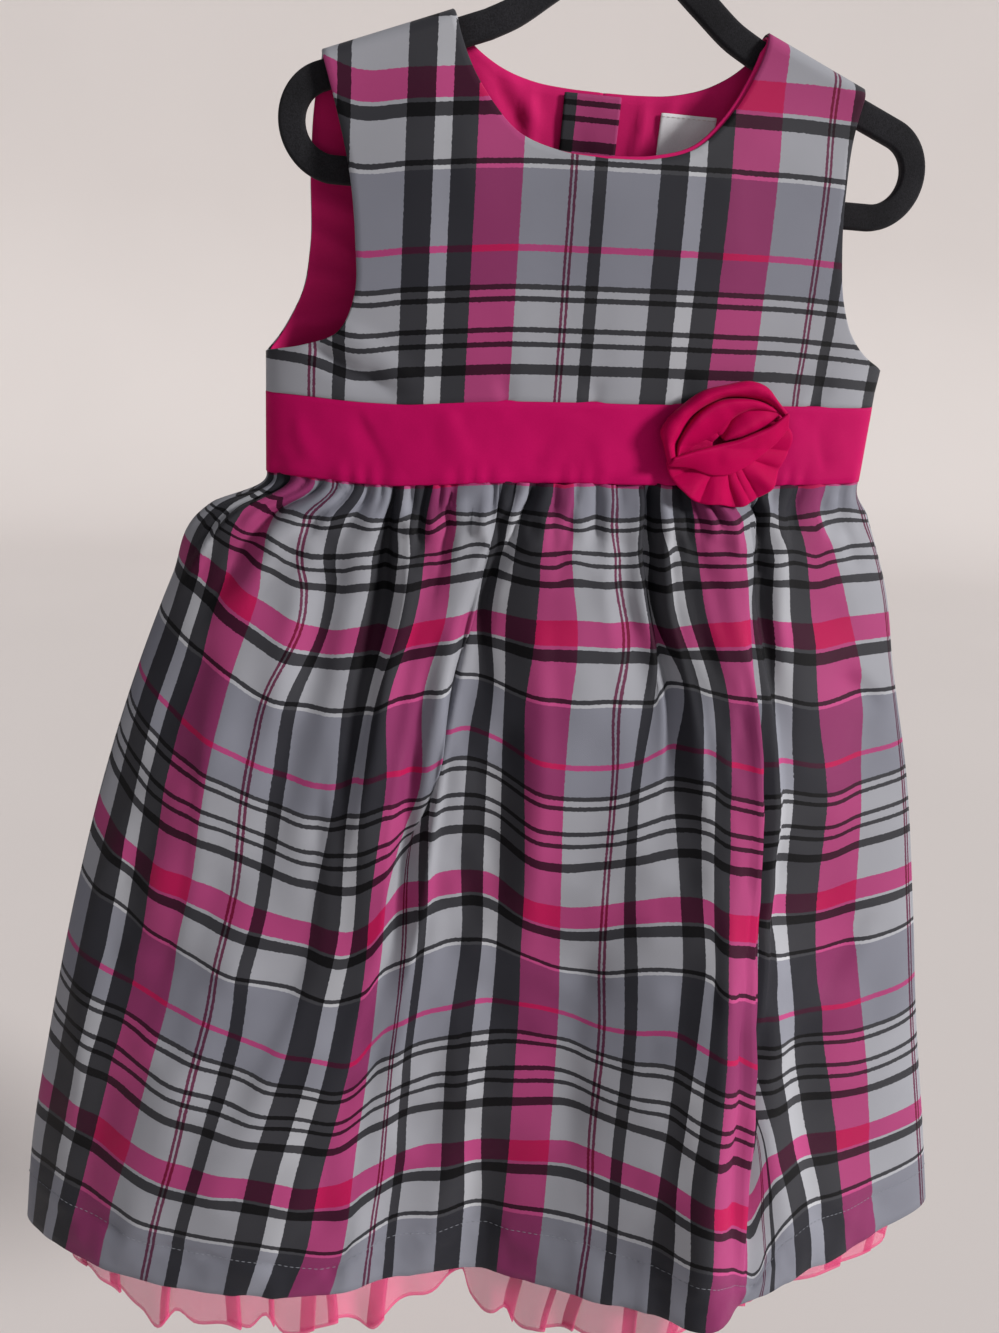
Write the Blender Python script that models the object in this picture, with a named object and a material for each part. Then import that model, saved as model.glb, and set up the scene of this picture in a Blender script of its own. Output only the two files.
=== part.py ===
"""A sleeveless plaid party dress for a toddler, hanging on a slim child's hanger.

Every cloth piece is its own wall: bodice, linings, waistband, gathered skirt, net ruffle and rosette.
Sizes are in millimetres. x is sideways, out is towards the viewer, drop is measured down from the
shoulder points; to_world turns them into metres with the origin where the hook rests on its rail.
"""
import math

import bmesh
import bpy
import numpy as np

MM = 0.001
SEAM = 0.27                 # half of the gap between two pieces that are sewn edge to edge
PLY_GAP = 0.4               # gap between two plies that lie on each other
LEAST_LEAN = 0.5            # a fold's points move out at most twice the wall's own measure

# cloth walls
SHELL = 1.2                 # plaid taffeta
BAND = 1.4                  # satin waistband, cut double
LINING = 1.0
NET = 1.0

# hanger
STROKE = 11.0               # width of the bar and arms, seen from the front
HANGER_THICK = 5.0
EDGE_ROUND = 1.2
BAR_DROP = 60.0
END_RADIUS = 17.5           # centre line of the round ends
ARM_SLOPE = 0.368
ARM_START = 56.0            # from here to the ends the arms are straight
ARM_START_DROP = 1.5
ARM_TO_STRAP = 8.8          # from the arm's centre line up to the top of the strap
NECK_RADIUS = 4.5
NECK_HEIGHT = 8.0
WIRE = 1.7                  # radius of the hook's wire
HOOK_RADIUS = 20.0
SHANK = 38.0                # from the neck's top to the centre of the hook's bend
ARM_CURVE = (               # sideways, drop of the arm's centre line near the middle
    (0.0, -31.5), (15.0, -25.5), (32.0, -13.5), (46.0, -3.5), (ARM_START, ARM_START_DROP),
)
HOOK_FROM = -50.0           # degrees round the bend where the shank joins it
HOOK_TO = 205.0

# dress
DRESS_SHIFT = -5.0          # the dress hangs a little off the hanger's middle
HIGH_POINT = 65.5           # half of the neck's width, shoulder point to shoulder point
ARCH = 6.0                  # height over which a strap rounds the arm
STRAP_DEPTH = 6.3           # half depth of a strap where it hangs from the arm
STRAP_BLEND = 45.0          # down to here the straps widen into the body
WAIST_HALF = 139.5
SHOULDER_HALF = 152.0       # half width of the body's form at the shoulders
UNDERARM = 134.0
WAIST_DROP = 145.5
BAND_HEIGHT = 34.7
WAIST_TILT = 0.036          # the waist rises towards +x
WAIST_SAG = (-85.0, 35.0, 3.0)      # place, half width and depth of a slack stretch
SKIRT_DROP = WAIST_DROP + BAND_HEIGHT + 0.3
SKIRT_LENGTH = 419.5

BODY_DEPTH = (              # drop, front, back: half depths of the body's form at its middle
    (-10.0, 6.0, 6.0),
    (20.0, 10.0, 8.5),
    (50.0, 16.0, 12.5),
    (100.0, 20.0, 15.5),
    (146.0, 22.5, 18.0),
    (182.0, 24.0, 20.0),
)
FRONT_NECK = (              # sideways, drop
    (0.0, 49.0), (20.0, 47.5), (38.0, 41.5), (50.5, 29.0), (59.0, 15.5), (64.0, 3.0),
)
BACK_NECK = (
    (0.0, 20.5), (16.0, 20.2), (30.0, 19.0), (47.0, 14.0), (58.0, 7.0), (64.0, 0.5),
)
STRAP_END = {-1: 117.0, 1: 110.0}   # sideways place of each strap's outer end
FRONT_ARMHOLE = {           # sideways, drop, from the strap's end to the underarm
    -1: ((110.5, 38.0), (104.5, 62.0), (101.5, 88.0), (101.5, 109.0), (108.0, 124.0), (123.0, 130.5)),
    1: ((106.5, 33.0), (105.5, 55.0), (108.0, 78.0), (112.5, 97.0), (119.0, 110.0), (128.0, 118.5)),
}
BACK_ARMHOLE = {
    -1: ((120.0, 34.0), (121.5, 60.0), (121.5, 90.0), (124.5, 108.0), (129.5, 119.0), (134.5, 127.5)),
    1: ((115.0, 32.0), (117.0, 56.0), (118.5, 84.0), (122.0, 99.0), (128.0, 111.0), (133.5, 119.0)),
}
UNDERARM_DROP = {-1: 134.0, 1: 124.0}
NECK_CELLS, STRAP_CELLS = 4, 4
NECK_TURN = {1: 2, -1: 3}   # row of the neck table where the strap's edge begins
ARM_TURN = 4                # and of the armhole, counted from the strap's end
CHEST_X, CHEST_DROP = 44.0, 104.0   # where the column under the neck's turn passes the chest
NECK_FOOT = 50.0
WIDEST_ARM_FOOT = 116.0
SIDE_SHARES = (0.22, 0.45, 0.68, 0.87, 1.0)     # columns under the armhole
STRAP_ROWS = (1.0, 0.985, 0.95, 0.88, 0.72, 0.4)
CHEST_ROWS = (1.0, 0.75, 0.5, 0.25)
SIDE_ROWS = (1.0, 0.66, 0.33, 0.0)
BAND_COLUMNS, BAND_ROWS = 27, 4
LAST_ANGLE = 86.5           # degrees: one column close to the side seam squares the edge up

# inside of the centre back
FACING_X = (-16.5, 7.5)
FACING_DROP = (21.5, 138.0)
LABEL_X = (25.0, 51.0)
LABEL_DROP = (23.5, 44.0)
BUTTON_RADIUS = 5.5
BUTTON_THICK = 2.2
BUTTON_DROPS = (30.0, 74.0, 118.0)
BUTTON_X = 7.0

# skirt: each row is a thread of the cloth that runs from waist to hem
LEVELS = (0.0, 20.0, 50.0, 90.0, 150.0, 220.0, 300.0, 370.0, 422.0)
FRONT_CLOTH = 534.0         # width of the front skirt's cloth
FRONT_THREADS = (           # across the cloth, out at waist, out at hem, sideways at each level
    (0.0, 0.0, 16.0, (-140, -169, -182, -197, -216, -234, -251, -264, -270)),
    (28.0, 8.5, 36.0, (-133, -156, -168, -179, -194, -212, -229, -242, -249)),
    (139.0, 18.9, 74.0, (-76, -77, -79, -86, -94, -98, -117, -130, -139)),
    (250.0, 23.6, 60.0, (-25, -27, -31, -31, -30, -30, -31, -29, -28)),
    (361.0, 22.9, 95.0, (41, 42, 47, 62, 72, 79, 80, 78, 79)),
    (472.0, 18.0, 68.0, (92, 95, 101, 109, 117, 124, 137, 152, 168)),
    (534.0, 0.0, 26.0, (140, 149, 162, 173, 191, 207, 224, 241, 253)),
)
BACK_CLOTH = 540.0
BACK_THREADS = (            # across the cloth from the +x seam, sideways and out at waist, at hem
    (78.0, 96.0, -14.5, 214.0, -12.0),
    (165.0, 52.0, -18.5, 140.0, -31.0),
    (258.0, 6.0, -20.0, 54.0, -21.0),
    (350.0, -40.0, -19.1, -34.0, -38.0),
    (452.0, -95.0, -14.6, -134.0, -24.0),
)
FRONT_FOLDS = (             # cloth at waist, at hem, half width, starts, deepest, ends, out
    (97.0, 103.0, 16.0, -20.0, 70.0, 260.0, -5.0),
    (184.0, 168.0, 17.0, 40.0, 180.0, 340.0, -8.0),
    (275.0, 272.0, 46.0, -60.0, 90.0, 260.0, 6.0),
    (329.0, 326.0, 15.0, -30.0, 55.0, 170.0, -6.0),
    (371.0, 378.0, 34.0, 20.0, 420.0, 700.0, 10.0),
    (409.0, 403.0, 17.0, 40.0, 300.0, 600.0, -9.0),
    (60.0, 52.0, 20.0, 0.0, 150.0, 330.0, 4.0),
    (455.0, 462.0, 18.0, 30.0, 230.0, 420.0, 4.0),
)
BACK_FOLDS = (
    (60.0, 70.0, 22.0, 0.0, 200.0, 460.0, 5.0),
    (150.0, 140.0, 30.0, 0.0, 380.0, 640.0, 7.0),
    (215.0, 222.0, 20.0, 20.0, 240.0, 520.0, -6.0),
    (300.0, 292.0, 34.0, -20.0, 140.0, 420.0, 5.0),
    (352.0, 344.0, 20.0, 40.0, 300.0, 600.0, -7.0),
    (440.0, 452.0, 32.0, 20.0, 400.0, 640.0, 8.0),
    (492.0, 486.0, 18.0, 0.0, 160.0, 380.0, -4.0),
)
BAND_HOLD = 16.0            # the skirt leaves the band's form over this height
GATHERS = 26                # fine pleats in the front's waist seam, and as many in the back's
GATHER_OUT = 4.2            # their height, either way from the middle of the wall
GATHER_AT_SEAM = 0.68       # share of that height in the seam itself
GATHER_PUFF = 14.0          # the pleats reach their full height this far down
GATHER_SHORT, GATHER_LONG = 42.0, 120.0     # how far down a short and a long pleat fade
GATHER_DRIFT = 0.25         # how unevenly they are spaced, as a share of their pitch
CALM_AT_SEAM = (3.0, 36.0)  # pleats and folds grow from nothing over this distance from a side seam
FINE_LEVELS = (0.0, 6.0, 16.0, 32.0, 56.0)
BROAD_LEVELS = (92.0, 145.0, 210.0, 280.0, 350.0, SKIRT_LENGTH)

# net ruffle under the skirt
NET_BOTTOM = 458.0          # below the waistband's lower edge
NET_WAVES = 16              # round the front, and as many round the back
NET_WAVE_OUT = 3.6
NET_RUFFLE_TOP = 372.0
NET_TUCK = (-9.0, -5.0)     # sewn behind the waistband between these levels
NET_LEVELS = (-1.0, 8.0, 70.0, 180.0, 300.0, NET_RUFFLE_TOP)
NET_RUFFLE_LEVELS = (412.0, NET_BOTTOM)
NET_BEHIND = 3.0            # from the band's middle to the net's, where it is sewn on
NET_INSET = ((-1.0, 9.0), (8.0, 11.5), (70.0, 15.0), (180.0, 17.0), (458.0, 22.0))
NET_COLUMNS = 32            # half of the net's waves' columns

# rosette on the waistband
ROSE_X, ROSE_DROP = 63.5, 160.5
ROSE_WIDE, ROSE_HIGH = 29.0, 26.5
ROSE_TILT = 12.0            # degrees
ROSE_LEAN = 0.27            # its lower half stands off over the skirt's pleats
RUFFLE_PLEATS = 12
ROSE_PETALS = (             # name, from and to degrees, inner and outer radius, rise, crown
    ("rosette_outer_fold", 8.0, 192.0, 0.64, 0.97, 5.4, 3.4),
    ("rosette_inner_fold", 8.0, 188.0, 0.36, 0.60, 5.1, 5.0),
    ("rosette_lip", 199.0, 361.0, 0.10, 0.74, 5.1, 5.4),
    ("rosette_heart", 12.0, 182.0, 0.06, 0.32, 5.0, 5.6),
)

COLOURS = {                 # base colour, roughness, metallic
    "plaid": ((0.30, 0.31, 0.33), 0.5, 0.0),
    "satin": ((0.50, 0.012, 0.11), 0.45, 0.0),
    "lining": ((0.38, 0.012, 0.09), 0.6, 0.0),
    "net": ((0.75, 0.22, 0.30), 0.8, 0.0),
    "label": ((0.80, 0.80, 0.80), 0.7, 0.0),
    "flock": ((0.008, 0.008, 0.010), 0.95, 0.0),
    "chrome": ((0.60, 0.60, 0.62), 0.2, 1.0),
    "button": ((0.45, 0.45, 0.47), 0.35, 0.0),
}


def hook_rise():
    """From the shoulder points' level up to the inside top of the hook."""
    neck_top = -ARM_CURVE[0][1] + STROKE / 2 + 0.3 + NECK_HEIGHT + 0.3
    return neck_top + SHANK + HOOK_RADIUS - WIRE


def to_world(points, shift):
    """Turns rows of sideways, out, drop into metres."""
    points = np.asarray(points, float)
    return np.stack((
        (points[:, 0] + shift) * MM,
        -points[:, 1] * MM,
        -(points[:, 2] + hook_rise()) * MM,
    ), axis=1)


def material(name):
    """A plain material in one of the named colours."""
    found = bpy.data.materials.get(name)
    if found:
        return found
    colour, roughness, metallic = COLOURS[name]
    made = bpy.data.materials.new(name)
    made.use_nodes = True
    shader = made.node_tree.nodes["Principled BSDF"]
    shader.inputs["Base Color"].default_value = (*colour, 1.0)
    shader.inputs["Roughness"].default_value = roughness
    shader.inputs["Metallic"].default_value = metallic
    return made


def link(name, data, look):
    """Puts an object with this mesh or curve in the dress's collection."""
    made = bpy.data.objects.new(name, data)
    data.materials.append(material(look))
    bpy.data.collections["toddler_dress"].objects.link(made)
    return made


def through(keys, values, at):
    """A smooth curve through a table's values, read at other keys."""
    keys = np.asarray(keys, float)
    values = np.asarray(values, float)
    at = np.asarray(at, float)
    slope = np.gradient(values, keys, axis=0)
    cell = np.clip(np.searchsorted(keys, at, side="right") - 1, 0, len(keys) - 2)
    step = keys[cell + 1] - keys[cell]
    t = np.clip((at - keys[cell]) / step, 0.0, 1.0)
    if values.ndim > 1:
        step, t = step[..., None], t[..., None]
    return ((2 * t ** 3 - 3 * t ** 2 + 1) * values[cell] + (t ** 3 - 2 * t ** 2 + t) * step * slope[cell]
            + (3 * t ** 2 - 2 * t ** 3) * values[cell + 1] + (t ** 3 - t ** 2) * step * slope[cell + 1])


def ease(value, low, high):
    """0 below low, 1 above high, smooth between."""
    t = np.clip((np.asarray(value, float) - low) / (high - low), 0.0, 1.0)
    return t * t * (3.0 - 2.0 * t)


def zip_rows(rows):
    """Faces that join each row of places to the next, quads where the places agree."""
    firsts = np.cumsum([0] + [len(row) for row in rows])
    faces = []
    for upper, lower, top, low in zip(rows, rows[1:], firsts, firsts[1:]):
        a = b = 0
        while a < len(upper) - 1 or b < len(lower) - 1:
            next_up = upper[a + 1] if a < len(upper) - 1 else math.inf
            next_low = lower[b + 1] if b < len(lower) - 1 else math.inf
            if abs(next_up - next_low) < 1e-6:
                faces.append((top + a, low + b, low + b + 1, top + a + 1))
                a, b = a + 1, b + 1
            elif next_up < next_low:
                faces.append((top + a, low + b, top + a + 1))
                a += 1
            else:
                faces.append((top + a, low + b, low + b + 1))
                b += 1
    return faces


def grid_faces(grid, closed=False):
    """Quads between the rows and columns of a grid, none where a corner has no point.

    A closed grid joins its last column to its first.
    """
    there = ~np.isnan(grid[..., 0])
    rows, columns = there.shape
    faces = []
    for row in range(rows - 1):
        for column in range(columns if closed else columns - 1):
            after = (column + 1) % columns
            if there[row:row + 2, column].all() and there[row:row + 2, after].all():
                first, second = row * columns, (row + 1) * columns
                faces.append((first + column, second + column, second + after, first + after))
    return faces


def offsets(points, faces):
    """What moves each point so that the faces round it move by one: longer in a sharp fold."""
    flat = []
    total = np.zeros_like(points)
    for face in faces:
        corners = points[list(face)]
        area = np.cross(corners[2] - corners[0], corners[-1] - corners[1])
        total[list(face)] += area
        flat.append(area / np.linalg.norm(area))
    normal = total / np.maximum(np.linalg.norm(total, axis=1, keepdims=True), 1e-9)
    lean = np.ones(len(points))
    for face, area in zip(faces, flat):
        for corner in face:
            lean[corner] = min(lean[corner], float(normal[corner] @ area))
    return normal / np.maximum(lean, LEAST_LEAN)[:, None]


def split(points, faces):
    """Triangles of the faces, each quad cut along its shorter diagonal."""
    made = []
    for corners in faces:
        if len(corners) == 3:
            made.append(corners)
            continue
        a, b, c, d = corners
        if np.linalg.norm(points[a] - points[c]) <= np.linalg.norm(points[b] - points[d]):
            made += [(a, b, c), (a, c, d)]
        else:
            made += [(a, b, d), (b, c, d)]
    return made


def wall(name, points, faces, move, thickness, look, face=0):
    """A closed wall of cloth round a sheet, half of it to each side.

    face 1 or -1 keeps the wall on its own side of the plane between front and back.
    """
    outer = points + move * thickness / 2
    inner = points - move * thickness / 2
    if face:
        outer[:, 1] = face * np.maximum(face * outer[:, 1], SEAM)
        inner[:, 1] = face * np.maximum(face * inner[:, 1], SEAM)
    used = sorted({corner for corners in faces for corner in corners})
    number = {corner: place for place, corner in enumerate(used)}
    faces = [tuple(number[corner] for corner in corners) for corners in split(points, faces)]
    outer, inner = outer[used], inner[used]
    a, b, c = points[used][list(faces[0])]
    if np.cross(b - a, c - a) @ move[used][faces[0][0]] < 0.0:
        faces = [(c, b, a) for a, b, c in faces]
    count = len(used)
    edges = {}
    for a, b, c in faces:
        for edge in ((a, b), (b, c), (c, a)):
            edges[edge] = True
    rim = [(end, start, start + count, end + count) for start, end in edges if (end, start) not in edges]
    under = [(c + count, b + count, a + count) for a, b, c in faces]
    mesh = bpy.data.meshes.new(name)
    both = np.concatenate((outer, inner))
    mesh.from_pydata(to_world(both, DRESS_SHIFT).tolist(), [], faces + under + rim)
    mesh.shade_smooth()
    link(name, mesh, look)


def moves(grid, face=0, level=(), closed=False):
    """How each point of a grid moves out by one; level rows and seam edges stay square to their seams."""
    move = offsets(grid.reshape(-1, 3), grid_faces(grid, closed)).reshape(grid.shape)
    if face:
        move *= np.sign(face * np.nansum(move[..., 1]))
        move[np.abs(grid[..., 1]) <= SEAM + 0.01, 1] = 0.0
    for row in level:
        move[row, :, 2] = 0.0
    return move


def grid_sheet(name, grid, thickness, look, face=0, level=(), closed=False):
    """A wall from an even grid of points, rows first."""
    move = moves(grid, face, level, closed)
    faces = grid_faces(grid, closed)
    wall(name, grid.reshape(-1, 3), faces, move.reshape(-1, 3), thickness, look, face)


def moved_in(grid, distance, face, level=()):
    """The grid moved towards the inside of the body; its points in a seam stay in that seam."""
    made = grid - moves(grid, face, level) * distance
    made[..., 1] = face * np.maximum(face * made[..., 1], SEAM)
    return made


# ---------------------------------------------------------------- the body's form

def arm_drop(x):
    """Drop of the hanger arm's centre line, x from the hanger's middle."""
    x = np.abs(np.asarray(x, float))
    curve = np.array(ARM_CURVE)
    straight = ARM_START_DROP + (x - ARM_START) * ARM_SLOPE
    mirrored = np.concatenate((curve[:0:-1] * (-1.0, 1.0), curve))
    bent = through(mirrored[:, 0], mirrored[:, 1], np.minimum(x, ARM_START))
    return np.where(x < ARM_START, bent, straight)


def strap_top(x):
    """Drop of the straps' top edge, x from the dress's middle."""
    from_middle = np.abs(np.asarray(x, float) + DRESS_SHIFT)
    return ARM_START_DROP + (from_middle - ARM_START) * ARM_SLOPE - ARM_TO_STRAP


def waist_drop(x):
    """Drop of the seam between bodice and waistband."""
    place, width, depth = WAIST_SAG
    x = np.asarray(x, float)
    return WAIST_DROP - WAIST_TILT * x + depth * np.exp(-((x - place) / width) ** 2)


def form(x, drop, face):
    """Out of the plaid's middle at a place, face 1 for the front and -1 for the back."""
    x = np.asarray(x, float)
    drop = np.asarray(drop, float)
    table = np.array(BODY_DEPTH)
    depth = through(table[:, 0], table[:, 1 if face > 0 else 2], drop)
    half = WAIST_HALF + (SHOULDER_HALF - WAIST_HALF) * np.clip(1.0 - drop / UNDERARM, 0.0, 1.0)
    half = np.maximum(half, np.abs(x))
    lens = np.sqrt(1.0 - (x / half) ** 2)
    below = np.maximum(drop - strap_top(x), 0.0)
    blend = ease(below, 0.0, STRAP_BLEND)
    full = STRAP_DEPTH * (1.0 - blend) + depth * lens * blend
    arch = np.sqrt(1.0 - (1.0 - np.minimum(below / ARCH, 1.0)) ** 2)
    return face * np.maximum(full * arch, SEAM)


# ---------------------------------------------------------------- hanger

def hanger_path():
    """Centre line of the closed hanger, as sideways and drop, and its unit normals."""
    arm_x = np.concatenate((np.linspace(0.0, ARM_START, 8), [ARM_START + 34.0]))
    right = [(x, float(arm_drop(x))) for x in arm_x]
    slope = math.atan(ARM_SLOPE)
    top_angle = math.pi / 2 - slope
    end_drop = BAR_DROP - END_RADIUS
    turn_x = ARM_START + (end_drop - END_RADIUS * math.sin(top_angle) - ARM_START_DROP) / ARM_SLOPE
    centre_x = turn_x - END_RADIUS * math.cos(top_angle)
    for angle in np.linspace(top_angle, -math.pi / 2, 9):
        right.append((centre_x + END_RADIUS * math.cos(angle), end_drop - END_RADIUS * math.sin(angle)))
    left = [(-x, drop) for x, drop in right[:0:-1]]
    path = np.array(right + left)
    ahead = np.roll(path, -1, axis=0) - path
    ahead /= np.linalg.norm(ahead, axis=1, keepdims=True)
    tangent = ahead + np.roll(ahead, 1, axis=0)
    tangent /= np.linalg.norm(tangent, axis=1, keepdims=True)
    return path, np.stack((tangent[:, 1], -tangent[:, 0]), axis=1)


def build_hanger():
    """The flocked body, cut from one outline with its inside open, its neck and the wire hook."""
    path, normal = hanger_path()
    curve = bpy.data.curves.new("hanger_body", "CURVE")
    curve.dimensions = "2D"
    curve.fill_mode = "BOTH"
    curve.extrude = (HANGER_THICK / 2 - EDGE_ROUND) * MM
    curve.bevel_depth = EDGE_ROUND * MM
    curve.bevel_resolution = 0
    for side in (1, -1):
        outline = path + normal * side * (STROKE / 2 - EDGE_ROUND)
        spline = curve.splines.new("POLY")
        spline.points.add(len(outline) - 1)
        for point, (x, drop) in zip(spline.points, outline):
            point.co = (x * MM, -drop * MM, 0.0, 1.0)
        spline.use_cyclic_u = True
    body = link("hanger_body", curve, "flock")
    body.rotation_euler = (math.pi / 2, 0.0, 0.0)
    body.location = (0.0, 0.0, -hook_rise() * MM)

    neck_base = -ARM_CURVE[0][1] + STROKE / 2 + 0.3
    mesh = bpy.data.meshes.new("hanger_neck")
    made = bmesh.new()
    bmesh.ops.create_cone(made, cap_ends=True, segments=20, radius1=NECK_RADIUS * MM,
                          radius2=NECK_RADIUS * 0.8 * MM, depth=NECK_HEIGHT * MM)
    made.to_mesh(mesh)
    made.free()
    neck = link("hanger_neck", mesh, "flock")
    neck.location = (0.0, 0.0, (neck_base + NECK_HEIGHT / 2 - hook_rise()) * MM)

    shank_top = neck_base + NECK_HEIGHT + 0.3
    centre = shank_top + SHANK
    start = math.radians(HOOK_FROM)
    joint = (HOOK_RADIUS * math.cos(start), centre + HOOK_RADIUS * math.sin(start))
    keys = (0.0, 0.45, 0.7, 0.86, 1.0)
    sideways = (0.0, 0.0, 0.16, 0.5, 1.0)
    reach = np.linspace(0.0, 1.0, 9)
    shank_x = through(keys, sideways, reach) * joint[0]
    shank_z = shank_top + reach * (joint[1] - shank_top)
    points = list(zip(shank_x, shank_z))
    for angle in np.radians(np.linspace(HOOK_FROM, HOOK_TO, 22)[1:]):
        points.append((HOOK_RADIUS * math.cos(angle), centre + HOOK_RADIUS * math.sin(angle)))
    wire = bpy.data.curves.new("hanger_hook", "CURVE")
    wire.dimensions = "3D"
    wire.bevel_depth = WIRE * MM
    wire.bevel_resolution = 2
    wire.use_fill_caps = True
    spline = wire.splines.new("POLY")
    spline.points.add(len(points) - 1)
    for point, (x, rise) in zip(spline.points, points):
        point.co = (x * MM, 0.0, (rise - hook_rise()) * MM, 1.0)
    link("hanger_hook", wire, "chrome")


# ---------------------------------------------------------------- bodice

def between(table, first, last, shares):
    """Points on the smooth curve through a table, at shares of the way from one of its rows to another."""
    table = np.array(table, float)
    keys = np.concatenate(([0.0], np.cumsum(np.linalg.norm(np.diff(table, axis=0), axis=1))))
    return through(keys, table, keys[first] + (keys[last] - keys[first]) * np.asarray(shares, float))


def bodice_half(side, face):
    """Grid of one half of the front or back, rows from the shoulder to the waist.

    Columns run from the middle: under the neck, up into the strap, then under the armhole.
    Above the neck's and the armhole's turn the grid has no points there.
    """
    high = (HIGH_POINT, float(strap_top(side * HIGH_POINT)))
    end = (STRAP_END[side], float(strap_top(side * STRAP_END[side])))
    under = (WAIST_HALF, UNDERARM_DROP[side])
    neck = (FRONT_NECK if face > 0 else BACK_NECK) + (high,)
    arm = (end,) + (FRONT_ARMHOLE if face > 0 else BACK_ARMHOLE)[side] + (under,)
    turn = NECK_TURN[face]
    by_neck = np.linspace(0.0, 1.0, NECK_CELLS + 1)[:-1, None]
    strap = np.linspace(0.0, 1.0, STRAP_CELLS + 1)[:, None]
    shares = np.array(SIDE_SHARES)
    rows = []
    for t in STRAP_ROWS:
        inner = between(neck, turn, -1, [t])
        outer = between(arm, 1, 0, [t])
        gaps = np.full((NECK_CELLS, 2), np.nan), np.full((len(shares), 2), np.nan)
        rows.append(np.concatenate((gaps[0], inner + (outer - inner) * strap, gaps[1])))
    neck_edge = between(neck, 0, turn, by_neck[:, 0])
    chest = np.array((CHEST_X, CHEST_DROP))
    below_neck = np.concatenate((by_neck * CHEST_X, np.full_like(by_neck, CHEST_DROP)), axis=1)
    for t in CHEST_ROWS:
        inner = chest + (neck[turn] - chest) * t
        outer = between(arm, ARM_TURN, 1, [t])
        row = (below_neck + (neck_edge - below_neck) * t, inner + (outer - inner) * strap,
               np.full((len(shares), 2), np.nan))
        rows.append(np.concatenate(row))
    outer = between(arm, ARM_TURN, 1, [0.0])
    top = np.concatenate((below_neck, chest + (outer - chest) * strap, between(arm, ARM_TURN, -1, shares)))
    arm_foot = min(arm[ARM_TURN][0], WIDEST_ARM_FOOT)
    first = math.asin(arm_foot / WAIST_HALF)
    foot_x = np.concatenate((by_neck[:, 0] * NECK_FOOT, NECK_FOOT + (arm_foot - NECK_FOOT) * strap[:, 0],
                             WAIST_HALF * np.sin(first + (math.pi / 2 - first) * shares)))
    foot = np.stack((foot_x, waist_drop(side * foot_x)), axis=1)
    for t in SIDE_ROWS:
        rows.append(foot + (top - foot) * t)
    flat = np.array(rows)
    x, drop = side * flat[..., 0], flat[..., 1]
    return np.stack((x, form(x, drop, face), drop), axis=-1)


def whole(face):
    """Both halves side by side, from -x to +x."""
    return np.concatenate((bodice_half(-1, face)[:, :0:-1], bodice_half(1, face)), axis=1)


def split_at_back(grid):
    """The back's two halves, parted at the centre opening."""
    middle = grid.shape[1] // 2
    left = grid[:, :middle + 1].copy()
    right = grid[:, middle:].copy()
    left[:, -1, 0] -= SEAM
    right[:, 0, 0] += SEAM
    return left, right


def build_bodice():
    """Front, two backs, and the lining inside each, made from the same points."""
    to_lining = SHELL / 2 + PLY_GAP + LINING / 2
    left, right = split_at_back(whole(-1))
    for name, grid, face in (("front", whole(1), 1), ("back_left", left, -1), ("back_right", right, -1)):
        grid_sheet("bodice_" + name, grid, SHELL, "plaid", face, (-1,))
        grid_sheet("lining_" + name, moved_in(grid, to_lining, face, (-1,)), LINING, "lining", face, (-1,))


def patch(across, down, columns, rows, inward):
    """A grid on the back of the bodice's form, moved in by a distance."""
    x, drop = np.meshgrid(np.linspace(*across, columns), np.linspace(*down, rows))
    return moved_in(np.stack((x, form(x, drop, -1), drop), axis=2), inward, -1)


def build_back_details():
    """The plaid strip and the blank label inside the back neck, and the buttons outside."""
    on_lining = SHELL / 2 + PLY_GAP + LINING + PLY_GAP + LINING / 2
    grid_sheet("back_facing", patch(FACING_X, FACING_DROP, 4, 6, on_lining), LINING, "plaid")
    grid_sheet("neck_label", patch(LABEL_X, LABEL_DROP, 3, 3, on_lining), LINING, "label")
    for number, drop in enumerate(BUTTON_DROPS, 1):
        mesh = bpy.data.meshes.new(f"back_button_{number}")
        made = bmesh.new()
        bmesh.ops.create_cone(made, cap_ends=True, segments=20, radius1=BUTTON_RADIUS * MM,
                              radius2=BUTTON_RADIUS * 0.86 * MM, depth=BUTTON_THICK * MM)
        made.to_mesh(mesh)
        made.free()
        button = link(mesh.name, mesh, "button")
        lean = (form(BUTTON_X, drop - 2.0, -1) - form(BUTTON_X, drop + 2.0, -1)) / 4.0
        stand = SHELL / 2 + PLY_GAP + BUTTON_THICK / 2
        place = ((BUTTON_X, float(form(BUTTON_X, drop, -1)) - stand, drop),)
        button.location = to_world(place, DRESS_SHIFT)[0]
        button.rotation_euler = (-math.pi / 2 + math.atan(float(lean)), 0.0, 0.0)


def band_grid(face, x, downs):
    """Middle surface of the waistband on one face, at places across and below its upper seam."""
    made = []
    for down in downs:
        drop = waist_drop(x) + down
        made.append(np.stack((x, form(x, drop, face), drop), axis=1))
    return np.array(made)


def build_waistband():
    """The satin band, seamed at both sides."""
    angles = np.radians(np.concatenate(([-90.0], np.linspace(-LAST_ANGLE, LAST_ANGLE, BAND_COLUMNS), [90.0])))
    downs = np.linspace(SEAM * 2, BAND_HEIGHT, BAND_ROWS)
    for name, face in (("waistband_front", 1), ("waistband_back", -1)):
        grid_sheet(name, band_grid(face, WAIST_HALF * np.sin(angles), downs), BAND, "satin", face, (0, -1))


# ---------------------------------------------------------------- skirt

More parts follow.
